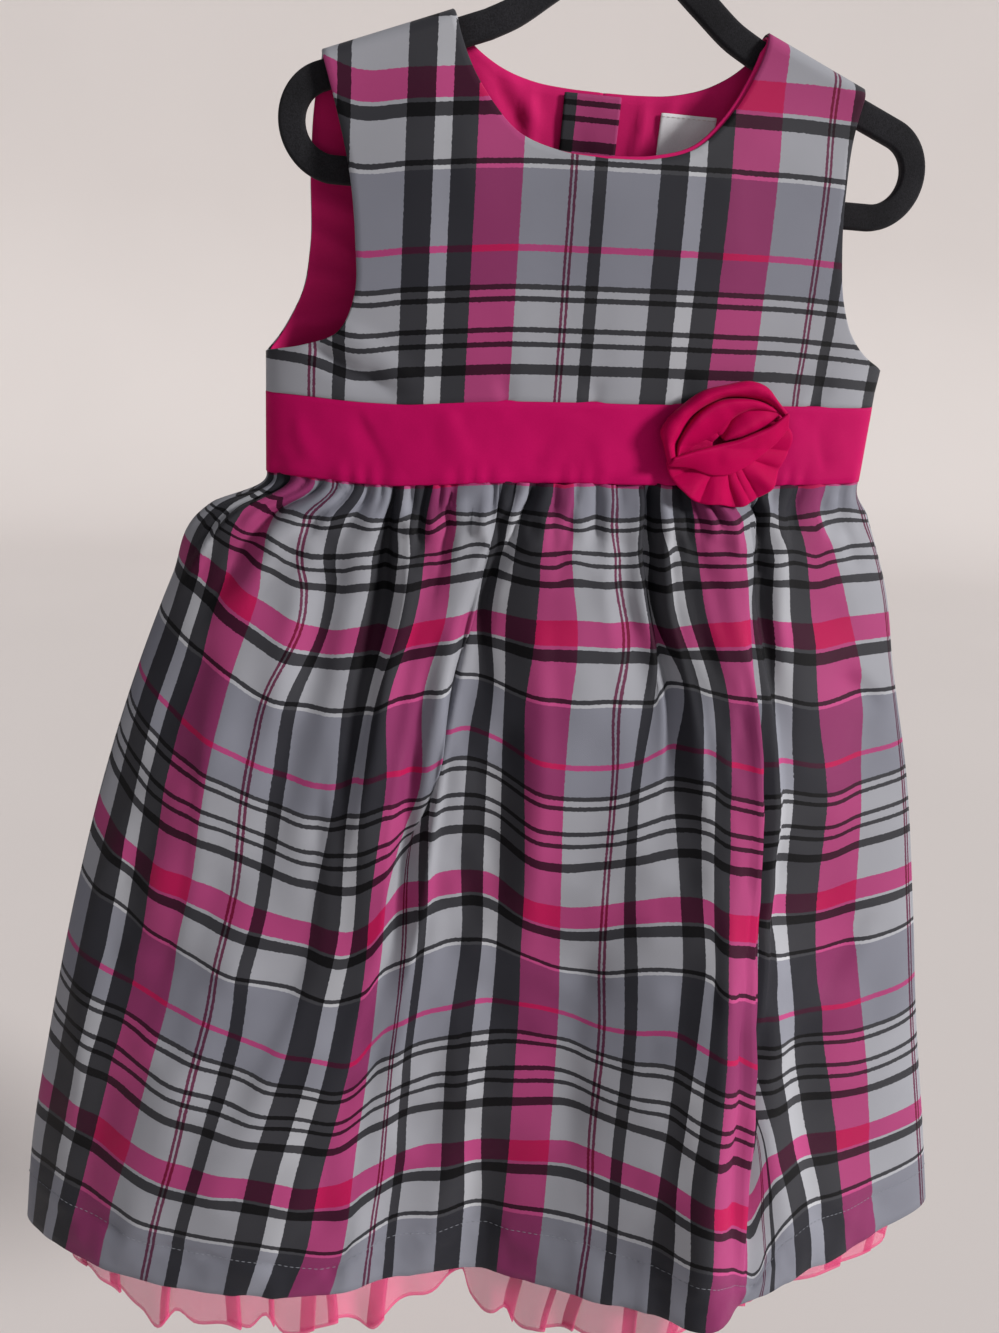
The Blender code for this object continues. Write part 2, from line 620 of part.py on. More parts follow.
def ring_tables():
    """For each thread round the skirt: place on the ring, out at waist and hem, sideways by level."""
    rows = [(cloth, waist, hem, sideways) for cloth, waist, hem, sideways in FRONT_THREADS]
    seam = np.array(FRONT_THREADS[-1][3], float)
    spread = (seam - seam[0]) / (seam[-1] - seam[0])
    for cloth, waist_x, waist_out, hem_x, hem_out in BACK_THREADS:
        sideways = waist_x + (hem_x - waist_x) * spread
        rows.append((FRONT_CLOTH + cloth, waist_out, hem_out, sideways))
    places = np.array([row[0] for row in rows])
    waist = np.array([row[1] for row in rows])
    hem = np.array([row[2] for row in rows])
    return places, waist, hem, np.array([row[3] for row in rows], float)


def fold_out(cloth, level, folds):
    """How far the broad folds push the cloth out or in."""
    total = np.zeros_like(cloth)
    for at_waist, at_hem, width, starts, deepest, ends, out in folds:
        centre = at_waist + (at_hem - at_waist) * level / SKIRT_LENGTH
        across = np.clip(np.abs(cloth - centre) / width, 0.0, 1.0)
        strength = ease(level, starts, deepest) * (1.0 - ease(level, deepest, ends))
        total += out * strength * 0.5 * (1.0 + np.cos(math.pi * across))
    return total


def ring(level, at):
    """Plan of the skirt at a level: points and outward directions at places round the ring."""
    places, waist, hem, sideways = ring_tables()
    length = FRONT_CLOTH + BACK_CLOTH
    share = max(level, 0.0) / LEVELS[-1]
    x = through(LEVELS, sideways.T, np.array([max(level, 0.0)]))[0]
    out = waist + (hem - waist) * share ** 0.92
    plan = np.stack((x, out), axis=1)
    if level < BAND_HOLD:                    # close to the band the ring follows the band's form
        band = round_form(at)
        near = 1.0 - float(ease(level, 0.0, BAND_HOLD))
    else:
        band, near = 0.0, 0.0
    keys = np.concatenate((places - length, places, places + length))
    wrapped = np.concatenate((plan, plan, plan))
    points = through(keys, wrapped, at)
    step = 0.5
    tangent = through(keys, wrapped, at + step) - through(keys, wrapped, at - step)
    if near:
        band_step = round_form(at + step) - round_form(at - step)
        points = points * (1.0 - near) + band * near
        tangent = tangent * (1.0 - near) + band_step * near
    normal = np.stack((-tangent[:, 1], tangent[:, 0]), axis=1)
    normal /= np.linalg.norm(normal, axis=1, keepdims=True)
    return points, normal


def round_form(at):
    """The waistband's lower edge in plan, read at places on the skirt's ring."""
    at = np.mod(at, FRONT_CLOTH + BACK_CLOTH)
    front = at <= FRONT_CLOTH
    front_places = [row[0] for row in FRONT_THREADS]
    front_x = np.array([row[3][0] for row in FRONT_THREADS], float)
    front_angle = np.arcsin(front_x / np.abs(front_x).max())
    back_places = [0.0] + [row[0] for row in BACK_THREADS] + [BACK_CLOTH]
    back_x = np.array([WAIST_HALF] + [row[1] for row in BACK_THREADS] + [-WAIST_HALF])
    back_angle = np.arcsin(back_x / WAIST_HALF)
    angle = np.where(front, through(front_places, front_angle, np.minimum(at, FRONT_CLOTH)),
                     through(back_places, back_angle, np.maximum(at - FRONT_CLOTH, 0.0)))
    depth = np.where(front, BODY_DEPTH[-1][1], -BODY_DEPTH[-1][2])
    return np.stack((WAIST_HALF * np.sin(angle), depth * np.cos(angle)), axis=1)


def skirt_drop(level, waist_x):
    """Drop of a skirt point: the waist's tilt fades out towards the level hem."""
    at_waist = waist_drop(waist_x) + BAND_HEIGHT + 0.6
    return at_waist + (SKIRT_DROP + SKIRT_LENGTH - at_waist) * level / SKIRT_LENGTH


def gather(phase, level):
    """Out of the fine pleats at a phase, one unit to a pleat; they fade down the skirt unevenly."""
    number = np.floor(phase)
    long_one = np.mod(number * 5.0, 3.0) < 1.0
    reach = np.where(long_one, GATHER_LONG, GATHER_SHORT)
    puff = GATHER_AT_SEAM + (1.0 - GATHER_AT_SEAM) * ease(level, 0.0, GATHER_PUFF)
    return GATHER_OUT * puff * np.sin(2.0 * math.pi * phase) * np.exp(-max(level - GATHER_PUFF, 0.0) / reach)


def cloth_at(phase, width):
    """Place across the cloth of a pleat's phase: pleats are taken up unevenly."""
    pitch = width / GATHERS
    return pitch * (phase + GATHER_DRIFT * np.sin(2.0 * math.pi * phase * 4.0 / GATHERS)
                    * np.sin(math.pi * phase / GATHERS))


def off_seam(cloth, width):
    """0 at the side seams, 1 away from them."""
    return ease(np.minimum(cloth, width - cloth), *CALM_AT_SEAM)


def skirt_row(face, level, phases):
    """Points of one level of the front or back skirt."""
    first, width, folds = ((0.0, FRONT_CLOTH, FRONT_FOLDS) if face > 0
                           else (FRONT_CLOTH, BACK_CLOTH, BACK_FOLDS))
    cloth = cloth_at(phases, width)
    cloth[0] += 2 * SEAM                     # the cloth runs about twice as far as the seam it is gathered to
    cloth[-1] -= 2 * SEAM
    points, normal = ring(level, first + cloth)
    waist_x = round_form(first + cloth)[:, 0]
    out = (fold_out(cloth, level, folds) + gather(phases, level)) * off_seam(cloth, width)
    points = points + normal * out[:, None]
    return np.stack((points[:, 0], points[:, 1], skirt_drop(level, waist_x)), axis=1), normal


def ring_sheet(name, rows, thickness, look):
    """A wall from rows of (places, (points, normals)); its ends meet its neighbour's squarely."""
    faces = zip_rows([row[0] for row in rows])
    points = np.concatenate([row[1][0] for row in rows])
    move = offsets(points, faces)
    first = 0
    for places, (_, normal) in rows:
        for end, at in ((first, 0), (first + len(places) - 1, -1)):
            way = np.sign(move[end, :2] @ normal[at])
            move[end] = (way * normal[at, 0], way * normal[at, 1], 0.0)
        first += len(places)
    top = slice(0, len(rows[0][0]))
    move[top, 2] = 0.0
    wall(name, points, faces, move, thickness, look)


def build_skirt():
    """Front and back skirt, each gathered into the band and falling into broad folds."""
    fine = np.arange(4 * GATHERS + 1) / 4.0
    broad = np.concatenate(([0.0], fine[1::2], [float(GATHERS)]))
    for name, face in (("skirt_front", 1), ("skirt_back", -1)):
        rows = [(fine, skirt_row(face, level, fine)) for level in FINE_LEVELS]
        rows += [(broad, skirt_row(face, level, broad)) for level in BROAD_LEVELS]
        ring_sheet(name, rows, SHELL, "plaid")


def net_row(face, level, places):
    """Points of one level of the net, inside the skirt."""
    first, width, folds = ((0.0, FRONT_CLOTH, FRONT_FOLDS) if face > 0
                           else (FRONT_CLOTH, BACK_CLOTH, BACK_FOLDS))
    cloth = places * width
    cloth[0] += 2 * SEAM
    cloth[-1] -= 2 * SEAM
    points, normal = ring(min(level, SKIRT_LENGTH), first + cloth)
    points = points + normal * (fold_out(cloth, level, folds) * off_seam(cloth, width))[:, None]
    inset = float(through(*np.array(NET_INSET).T, np.array([level]))[0])
    half_wide = np.abs(points[:, 0]).max()
    half_deep = np.abs(points[:, 1]).max()
    points = points * (1.0 - inset / half_wide, 1.0 - inset / half_deep)
    wave = NET_WAVE_OUT * float(ease(level, NET_RUFFLE_TOP, NET_BOTTOM))
    waves = wave * np.sin(2.0 * math.pi * NET_WAVES * places) * off_seam(cloth, width)
    points = points + normal * waves[:, None]
    waist_x = round_form(first + cloth)[:, 0]
    return np.stack((points[:, 0], points[:, 1], skirt_drop(level, waist_x)), axis=1), normal


def tucked_row(face, level, places):
    """Points of the net where it is sewn behind the waistband."""
    first, width = (0.0, FRONT_CLOTH) if face > 0 else (FRONT_CLOTH, BACK_CLOTH)
    at = first + places * width
    normal = ring(0.0, at)[1]
    x = round_form(at)[:, 0]
    drop = waist_drop(x) + BAND_HEIGHT + level
    shrink = 1.0 - NET_BEHIND / np.array((WAIST_HALF, abs(float(form(0.0, SKIRT_DROP, face)))))
    out = face * np.maximum(face * form(x, drop, face) * shrink[1], SEAM)
    return np.stack((x * shrink[0], out, drop), axis=1), normal


def build_net():
    """The net underskirt, sewn behind the band, with its ruffle showing below the hem."""
    plain = np.linspace(0.0, 1.0, NET_COLUMNS + 1)
    waved = np.linspace(0.0, 1.0, 4 * NET_WAVES + 1)
    for name, face in (("net_front", 1), ("net_back", -1)):
        rows = [(plain, tucked_row(face, level, plain)) for level in NET_TUCK]
        rows += [(plain, net_row(face, level, plain.copy())) for level in NET_LEVELS]
        rows += [(waved, net_row(face, level, waved.copy())) for level in NET_RUFFLE_LEVELS]
        ring_sheet(name, rows, NET, "net")


# ---------------------------------------------------------------- rosette

def rose_points(radius, angle, rise):
    """Points of the flower: share of its radius, angle round it, height off the band."""
    tilt = math.radians(ROSE_TILT)
    across = ROSE_WIDE * radius * np.cos(angle)
    up = ROSE_HIGH * radius * np.sin(angle)
    x = ROSE_X + across * math.cos(tilt) - up * math.sin(tilt)
    drop = ROSE_DROP - across * math.sin(tilt) - up * math.cos(tilt)
    base = form(x, np.full_like(x, ROSE_DROP), 1) + BAND / 2
    rise = rise + ROSE_LEAN * np.maximum(drop - ROSE_DROP, 0.0)
    return np.stack((x, base + rise, drop), axis=-1)


def build_rosette():
    """A gathered ruffle on the band with folded petals on it."""
    turns = np.linspace(0.0, 2.0 * math.pi, 4 * RUFFLE_PLEATS + 1)
    rows = []
    for share, rise, wave in ((0.22, 4.0, 0.3), (0.6, 3.4, 0.8), (1.0, 2.6, 1.3)):
        angle, radius = np.meshgrid(turns, [share])
        out = rise + wave * np.sin(RUFFLE_PLEATS * angle)
        rows.append(rose_points(radius, angle, out)[0])
    grid = np.array(rows)
    grid_sheet("rosette_ruffle", grid[:, :-1], SHELL, "satin", closed=True)
    for name, begin, end, inner, outer, rise, crown in ROSE_PETALS:
        angle = np.radians(np.linspace(begin, end, 13))
        rows = []
        taper = np.sin(math.pi * np.linspace(0.05, 0.95, len(angle)))
        for t in np.linspace(0.0, 1.0, 4):
            radius = outer - (outer - inner) * taper ** 0.55 * (1.0 - t)
            out = rise + crown * math.sin(math.pi * (0.15 + 0.7 * t)) * taper ** 0.5
            rows.append(rose_points(radius, angle, out))
        grid_sheet(name, np.array(rows), SHELL, "satin")


def main():
    for old in list(bpy.data.objects):
        bpy.data.objects.remove(old)
    group = bpy.data.collections.new("toddler_dress")
    bpy.context.scene.collection.children.link(group)
    build_hanger()
    build_bodice()
    build_back_details()
    build_waistband()
    build_skirt()
    build_net()
    build_rosette()


main()
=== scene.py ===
"""Looks of a toddler's plaid party dress on a slim flocked hanger.

Sizes in the tables are millimetres: sideways from the dress's middle, out towards the viewer,
and drop below the shoulder points. to_world turns them into metres in the frame of the solids.
"""
import math

import bmesh
import bpy
import numpy as np
from bpy.props import FloatProperty, FloatVectorProperty, IntProperty, PointerProperty
from mathutils import Matrix, Vector


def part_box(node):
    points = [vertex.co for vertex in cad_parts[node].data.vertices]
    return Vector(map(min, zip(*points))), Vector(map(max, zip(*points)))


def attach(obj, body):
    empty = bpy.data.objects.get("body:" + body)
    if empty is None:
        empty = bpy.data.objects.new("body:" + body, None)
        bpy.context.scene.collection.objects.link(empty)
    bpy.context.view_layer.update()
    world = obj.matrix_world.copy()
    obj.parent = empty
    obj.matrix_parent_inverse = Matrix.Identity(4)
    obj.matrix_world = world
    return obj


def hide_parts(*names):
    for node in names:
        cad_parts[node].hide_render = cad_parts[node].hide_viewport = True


bl_info = {
    "name": "Plaid Party Dress",
    "version": (1, 0, 0),
    "blender": (4, 5, 0),
    "location": "View3D > Sidebar > Party Dress",
    "description": "Makes the cloth, trims, hanger and stage of a toddler's plaid party dress",
    "category": "Object",
}

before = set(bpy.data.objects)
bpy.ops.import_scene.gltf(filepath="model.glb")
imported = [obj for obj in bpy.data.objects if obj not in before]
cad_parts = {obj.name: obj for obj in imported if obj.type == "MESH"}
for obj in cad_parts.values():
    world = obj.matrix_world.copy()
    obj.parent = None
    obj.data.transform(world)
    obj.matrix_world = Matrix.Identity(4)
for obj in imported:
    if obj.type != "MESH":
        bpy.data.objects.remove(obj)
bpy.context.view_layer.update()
HANGER_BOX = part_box("hanger_body")

MM = 0.001
GAP = 0.06                  # half of the gap left between pieces sewn edge to edge
PLY_GAP = 0.4
CHART_UNIT = 100.0          # millimetres of plain cloth to one unit of its chart
SHELL, BAND, LINING, NET = 1.2, 1.4, 1.0, 0.5
TAFFETA = 0.6               # what the skirt's cloth measures on the middle of its solid's wall

# ---------------------------------------------------------------- sizes of the hanger

STROKE = 11.0
HANGER_THICK = (HANGER_BOX[1][1] - HANGER_BOX[0][1]) / MM
EDGE_ROUND = 1.6
BAR_DROP = 60.0
END_RADIUS = 17.5
ARM_SLOPE = 0.368
ARM_START, ARM_START_DROP = 56.0, 1.5
ARM_TO_STRAP = 8.8
NECK_RADIUS, NECK_HEIGHT = 4.5, 8.0
WIRE = 1.7
HOOK_RADIUS, SHANK = 20.0, 38.0
HOOK_FROM, HOOK_TO = -50.0, 205.0
ARM_CURVE = (               # sideways, drop of the arm's centre line near the middle
    (0.0, -31.5), (15.0, -25.5), (32.0, -13.5), (46.0, -3.5), (ARM_START, ARM_START_DROP),
)

# ---------------------------------------------------------------- sizes of the bodice

DRESS_SHIFT = -5.0
HIGH_POINT = 65.5
ARCH = 6.0
STRAP_DEPTH = 6.3
STRAP_BLEND = 45.0
WAIST_HALF = 139.5
SHOULDER_HALF = 152.0
UNDERARM = 134.0
WAIST_DROP = 145.5
BAND_HEIGHT = 34.7
WAIST_TILT = 0.036
WAIST_SAG = (-85.0, 35.0, 3.0)
SKIRT_DROP = WAIST_DROP + BAND_HEIGHT + 0.3
SKIRT_LENGTH = 419.5
BODY_DEPTH = (              # drop, front, back
    (-10.0, 6.0, 6.0), (20.0, 10.0, 8.5), (50.0, 16.0, 12.5),
    (100.0, 20.0, 15.5), (146.0, 22.5, 18.0), (182.0, 24.0, 20.0),
)
FRONT_NECK = (              # sideways, drop
    (0.0, 49.0), (20.0, 47.5), (38.0, 41.5), (50.5, 29.0), (59.0, 15.5), (64.0, 3.0),
)
BACK_NECK = (
    (0.0, 20.5), (16.0, 20.2), (30.0, 19.0), (47.0, 14.0), (58.0, 7.0), (64.0, 0.5),
)
STRAP_END = {-1: 117.0, 1: 110.0}
FRONT_ARMHOLE = {
    -1: ((110.5, 38.0), (104.5, 62.0), (101.5, 88.0), (101.5, 109.0), (108.0, 124.0), (123.0, 130.5)),
    1: ((106.5, 33.0), (105.5, 55.0), (108.0, 78.0), (112.5, 97.0), (119.0, 110.0), (128.0, 118.5)),
}
BACK_ARMHOLE = {
    -1: ((120.0, 34.0), (121.5, 60.0), (121.5, 90.0), (124.5, 108.0), (129.5, 119.0), (134.5, 127.5)),
    1: ((107.5, 32.0), (107.0, 56.0), (109.5, 84.0), (115.0, 99.0), (123.0, 111.0), (132.0, 119.0)),
}
UNDERARM_DROP = {-1: 134.0, 1: 124.0}
NECK_CELLS, STRAP_CELLS = 4, 4
NECK_TURN = {1: 2, -1: 3}
ARM_TURN = 4
CHEST_X, CHEST_DROP = 44.0, 104.0
NECK_FOOT = 50.0
WIDEST_ARM_FOOT = 116.0
SIDE_SHARES = (0.0, 0.22, 0.45, 0.68, 0.87, 1.0)
STRAP_ROWS = (1.0, 0.985, 0.95, 0.88, 0.72, 0.4, 0.0)
CHEST_ROWS = (1.0, 0.75, 0.5, 0.25, 0.0)
SIDE_ROWS = (1.0, 0.66, 0.33, 0.0)
FACING_X, FACING_DROP = (-16.5, 7.5), (21.5, 138.0)
LABEL_X, LABEL_DROP = (26.0, 50.0), (25.5, 46.0)
BUTTON_RADIUS, BUTTON_THICK = 5.5, 2.2
BUTTON_DROPS = (30.0, 74.0, 118.0)
BUTTON_X = 7.0
BUTTON_HOLE = 0.24          # from the button's middle, in radii
STEEPEST = 0.8              # slope above which the bodice's form is not followed in measuring
BACK_PARTING = 0.3          # between the backs at the centre opening

# ---------------------------------------------------------------- sizes of the skirt

LEVELS = (0.0, 20.0, 50.0, 90.0, 150.0, 220.0, 300.0, 370.0, 422.0)
FRONT_CLOTH, BACK_CLOTH = 534.0, 540.0
FRONT_THREADS = (           # across the cloth, out at waist, out at hem, sideways at each level
    (0.0, 0.0, 16.0, (-140, -169, -182, -197, -216, -234, -251, -264, -270)),
    (28.0, 8.5, 36.0, (-133, -156, -168, -179, -194, -212, -229, -242, -249)),
    (139.0, 18.9, 74.0, (-76, -77, -79, -86, -94, -98, -117, -130, -139)),
    (250.0, 23.6, 60.0, (-25, -27, -31, -31, -30, -30, -31, -29, -28)),
    (361.0, 22.9, 95.0, (41, 42, 47, 62, 72, 79, 80, 78, 79)),
    (472.0, 18.0, 68.0, (92, 95, 101, 109, 117, 124, 137, 152, 168)),
    (534.0, 0.0, 26.0, (140, 149, 162, 173, 191, 207, 224, 241, 253)),
)
BACK_THREADS = (            # across the cloth from the +x seam, sideways and out at waist, at hem
    (78, 96, -14.5, 214, -12),
    (165, 52, -18.5, 140, -31),
    (258, 6, -20, 54, -21),
    (350, -40, -19.1, -34, -38),
    (452, -95, -14.6, -134, -24),
)
FRONT_FOLDS = (             # cloth at waist, at hem, half width, starts, deepest, ends, out
    (97, 103, 16, -20, 70, 260, -5),
    (184, 168, 17, 40, 180, 340, -8),
    (275, 272, 46, -60, 90, 260, 6),
    (329, 326, 15, -30, 55, 170, -6),
    (371, 378, 34, 20, 420, 700, 10),
    (60, 52, 20, 0, 150, 330, 4),
    (455, 462, 18, 30, 230, 420, 4),
)
BACK_FOLDS = (
    (60, 70, 22, 0, 200, 460, 5),
    (150, 140, 30, 0, 380, 640, 7),
    (215, 222, 20, 20, 240, 520, -6),
    (300, 292, 34, -20, 140, 420, 5),
    (352, 344, 20, 40, 300, 600, -7),
    (440, 452, 32, 20, 400, 640, 8),
    (492, 486, 18, 0, 160, 380, -4),
)
CLOTH_LENGTH = 410.0
WEFT_ROWS = (0, 35, 70, 105, 140, 205, 240, 275, 345, 380, 410)
FRONT_SLIDES = (            # cloth, how far along the ring it hangs from its own place at each weft row
    (0, (0, 0, 0, 0, 0, 0, 0, 0, 0, 0, 0)),
    (42, (-10, -4, 0, 0, -4, 0, 2, 3, 0, -3, -8)),
    (63, (-7, -2, 2, -2, -3, 0, 0, 2, 0, -4, -6)),
    (86, (-14, -4, 2, -7, -8, -4, -4, -2, -2, -4, -5)),
    (98, (-3, 0, 2, -6, -5, -3, -4, 0, -1, -3, -3)),
    (124, (0, -3, -5, -4, 0, -5, -2, 1, -2, -2, -2)),
    (139, (0, 1, 1, -3, -3, -1, 0, 4, 1, 1, -2)),
    (153, (6, 3, 1, -6, 2, -2, 3, 9, 6, 6, 1)),
    (174, (9, 12, 15, 5, 14, -11, -7, 1, 5, 5, 2)),
    (187, (38, 38, 37, 21, 18, -14, -11, -5, 0, -2, -3)),
    (204, (4, 4, 3, -4, -10, -15, -12, -8, -2, -3, -3)),
    (222, (-6, -6, -6, -4, -8, -9, -6, -5, -2, -4, -4)),
    (235, (-4, -6, -7, 0, -5, -5, -1, -3, -3, -4, -4)),
    (254, (0, 0, -1, 0, 0, 2, 3, 3, 1, 2, 0)),
    (264, (7, 8, 8, 2, 2, 5, 5, 6, 5, 3, 1)),
    (285, (2, 8, 12, 5, 2, 2, 3, 4, 4, 3, 1)),
    (308, (8, 12, 16, 4, 2, -2, -2, 0, 0, 2, 0)),
    (322, (20, 21, 21, 9, 1, -3, -1, 1, 1, 2, 2)),
    (334, (-2, -2, -1, 3, -2, -4, -2, -1, -1, 0, 0)),
    (346, (0, 0, 0, 5, -4, -4, -2, -2, -2, -2, -2)),
    (361, (-3, 2, 4, 4, 1, -3, -1, -3, -4, -1, -1)),
    (375, (10, 11, 11, 10, 4, -3, -4, -2, 0, 2, 0)),
    (396, (44, 45, 44, 38, 43, 48, 48, 46, 35, 26, 16)),
    (402, (60, 50, 42, 34, 38, 42, 42, 40, 33, 25, 14)),
    (426, (12, 0, -5, -10, -13, -9, -6, 4, 21, 18, 9)),
    (457, (6, -4, -9, -8, -17, -10, -7, -10, 0, 5, 1)),
    (472, (0, 0, 0, -3, -5, -5, -2, -1, 2, 4, 0)),
    (486, (-3, 0, 1, 0, 2, 1, 1, 2, 3, 2, 0)),
    (507, (-11, -6, -2, 3, -1, -4, -4, -3, -4, -5, -6)),
    (534, (0, 0, 0, 0, 0, 0, 0, 0, 0, 0, 0)),
)
FRONT_DROOP = (             # cloth, how much lower than its own level it hangs at each weft row
    (0, (0, -20, -40, -42, -47, -49, -46, -42, -26, -14, 0)),
    (28, (0, -15, -32, -30, -32, -30, -33, -31, -22, -15, 0)),
    (42, (0, -11, -26, -24, -25, -23, -25, -27, -19, -13, 0)),
    (63, (0, -6, -16, -16, -17, -18, -18, -20, -12, -9, 0)),
    (86, (0, -1, -6, -7, -9, -11, -10, -14, -6, -4, 0)),
    (98, (0, 0, -3, -4, -3, -6, -6, -9, -4, -3, 0)),
    (124, (0, -2, -5, -2, 1, 1, 0, 0, -2, -2, 0)),
    (139, (0, -2, -6, -3, -3, 4, 4, 2, 1, 0, 0)),
    (153, (0, -3, -8, -8, -7, -1, 0, 4, 4, 4, 0)),
    (174, (0, -5, -10, -11, -7, -10, -8, -5, 1, 5, 0)),
    (187, (0, -6, -12, -14, -12, -14, -11, -11, -2, 0, 0)),
    (214, (0, -6, -12, -19, -25, -23, -22, -19, -9, -7, 0)),
    (235, (0, -6, -12, -18, -27, -25, -25, -22, -12, -8, 0)),
    (250, (0, -6, -12, -16, -23, -24, -25, -25, -14, -10, 0)),
    (264, (0, -4, -10, -12, -17, -16, -20, -25, -16, -11, 0)),
    (285, (0, -4, -10, -9, -12, -11, -13, -22, -19, -13, 0)),
    (308, (0, -4, -8, -9, -12, -13, -13, -18, -19, -13, 0)),
    (322, (0, -4, -8, -8, -15, -16, -18, -18, -16, -11, 0)),
    (346, (0, -3, -6, -18, -22, -20, -20, -20, -12, -10, 0)),
    (361, (0, -4, -8, -16, -22, -20, -19, -16, -8, -8, 0)),
    (375, (0, -5, -10, -14, -17, -15, -12, -12, -4, -8, 0)),
    (398, (0, -5, -12, -12, -12, -8, 0, 4, 11, 17, 0)),
    (426, (0, -5, -11, -11, -12, -10, -12, -8, -8, 5, 0)),
    (457, (0, -4, -10, -10, -12, -11, -22, -18, -12, -8, 0)),
    (472, (0, -4, -8, -8, -12, -12, -15, -15, -12, -10, 0)),
    (486, (0, -2, -6, -4, -7, -8, -12, -12, -9, -8, 0)),
    (507, (0, -3, -8, -6, -9, -11, -12, -10, -6, -5, 0)),
    (534, (0, -3, -8, -6, -12, -13, -16, -15, -4, -5, 0)),
)
BACK_SLIDES = (
    (0, (0, 0, 0, 0, 0, 0, 0, 0, 0, 0, 0)),
    (70, (-4, -2, 0, 3, 2, 0, -2, -3, 0, 2, 0)),
    (118, (6, 5, 4, 0, -3, -5, -4, 0, 2, 0, 0)),
    (150, (36, 36, 35, 30, 24, 6, 2, 0, 0, 2, 0)),
    (168, (6, 5, 3, -2, -6, -6, -4, -2, 0, 0, 0)),
    (196, (-6, -6, -6, -6, -4, -4, -3, 0, 2, 0, 0)),
    (240, (4, 5, 6, 4, 0, -3, -4, -2, 0, 3, 2)),
    (300, (-5, -3, 0, 2, 4, 4, 2, 0, -3, -3, 0)),
    (348, (30, 32, 34, 38, 40, 40, 38, 34, 22, 12, 4)),
    (370, (6, 2, -2, -5, -6, -4, 0, 6, 12, 8, 2)),
    (402, (-8, -8, -8, -8, -8, -7, -6, -4, 0, 2, 0)),
    (450, (4, 4, 2, 0, -3, -4, -2, 0, 3, 2, 0)),
    (500, (-4, -2, 0, 2, 2, 0, 0, 2, 0, -2, 0)),
    (540, (0, 0, 0, 0, 0, 0, 0, 0, 0, 0, 0)),
)
BACK_DROOP = (
    (0, (0, -3, -8, -6, -12, -13, -16, -15, -4, -5, 0)),
    (60, (0, -4, -7, -8, -6, -4, -8, -12, -10, -6, 0)),
    (118, (0, -2, -5, -4, 2, 4, 0, -4, -6, -4, 0)),
    (148, (0, -4, -9, -9, -4, 2, 4, 5, 4, 2, 0)),
    (196, (0, -6, -12, -16, -18, -12, -8, -6, -2, 0, 0)),
    (250, (0, -5, -10, -12, -16, -18, -20, -18, -14, -8, 0)),
    (310, (0, -3, -7, -8, -8, -10, -12, -16, -16, -10, 0)),
    (346, (0, -5, -10, -10, -6, -2, 2, 6, 9, 6, 0)),
    (402, (0, -4, -9, -14, -18, -18, -18, -15, -10, -6, 0)),
    (450, (0, -3, -6, -8, -12, -16, -14, -10, -6, -4, 0)),
    (500, (0, -12, -24, -26, -26, -24, -24, -22, -14, -9, 0)),
    (540, (0, -20, -40, -42, -47, -49, -46, -42, -26, -14, 0)),
)
FRONT_PLEATS = (            # cloth at the edge, turn and end, folded to, open from, lift, roll
    (187, 204, 229, 120, 190, 2, 4),
    (322, 334, 346, 70, 125, 1.6, 3),
    (399, 426, 456, 235, 350, 3.6, 7),
)
BACK_PLEATS = (
    (150, 168, 190, 110, 200, 2.2, 4),
    (348, 370, 396, 240, 350, 3.2, 6),
)
BAND_HOLD = 16.0
FRONT_GATHERS = (           # place at the band, drift, how far down, half width, depth
    (6, -5, 30, 5, 2.5), (18, -10, 26, 6, 3.2), (34, -22, 50, 6, 3.8), (50, -8, 20, 5, 2.6),
    (63, -20, 46, 6, 3.6), (77, -5, 18, 5, 2.2), (88, -8, 30, 5, 3.0), (105, -4, 25, 6, 3.4),
    (116, 0, 15, 4, 2.0), (126, 2, 90, 6, 4.6), (141, 3, 22, 5, 2.4), (153, -4, 32, 5, 3.4),
    (166, 4, 18, 5, 2.4), (179, -6, 38, 6, 3.6), (191, 0, 14, 4, 2.0), (206, -4, 26, 6, 3.0),
    (221, 3, 18, 5, 3.0), (259, -26, 52, 6, 4.4), (243, -4, 15, 4, 2.0), (274, 3, 22, 6, 2.6),
    (290, -4, 32, 5, 2.4), (305, 4, 24, 6, 3.0), (322, -2, 18, 5, 2.4), (345, -3, 95, 6, 4.6),
    (359, 6, 20, 5, 2.4), (376, 4, 26, 5, 2.8), (392, 3, 30, 5, 2.6), (411, 6, 24, 6, 3.0),
    (430, 4, 18, 5, 2.4), (459, 5, 70, 5, 4.2), (473, -3, 16, 4, 2.0), (485, -4, 32, 5, 3.2),
    (497, 3, 20, 5, 2.2), (509, 4, 38, 6, 3.4), (521, 3, 22, 4, 2.4),
)
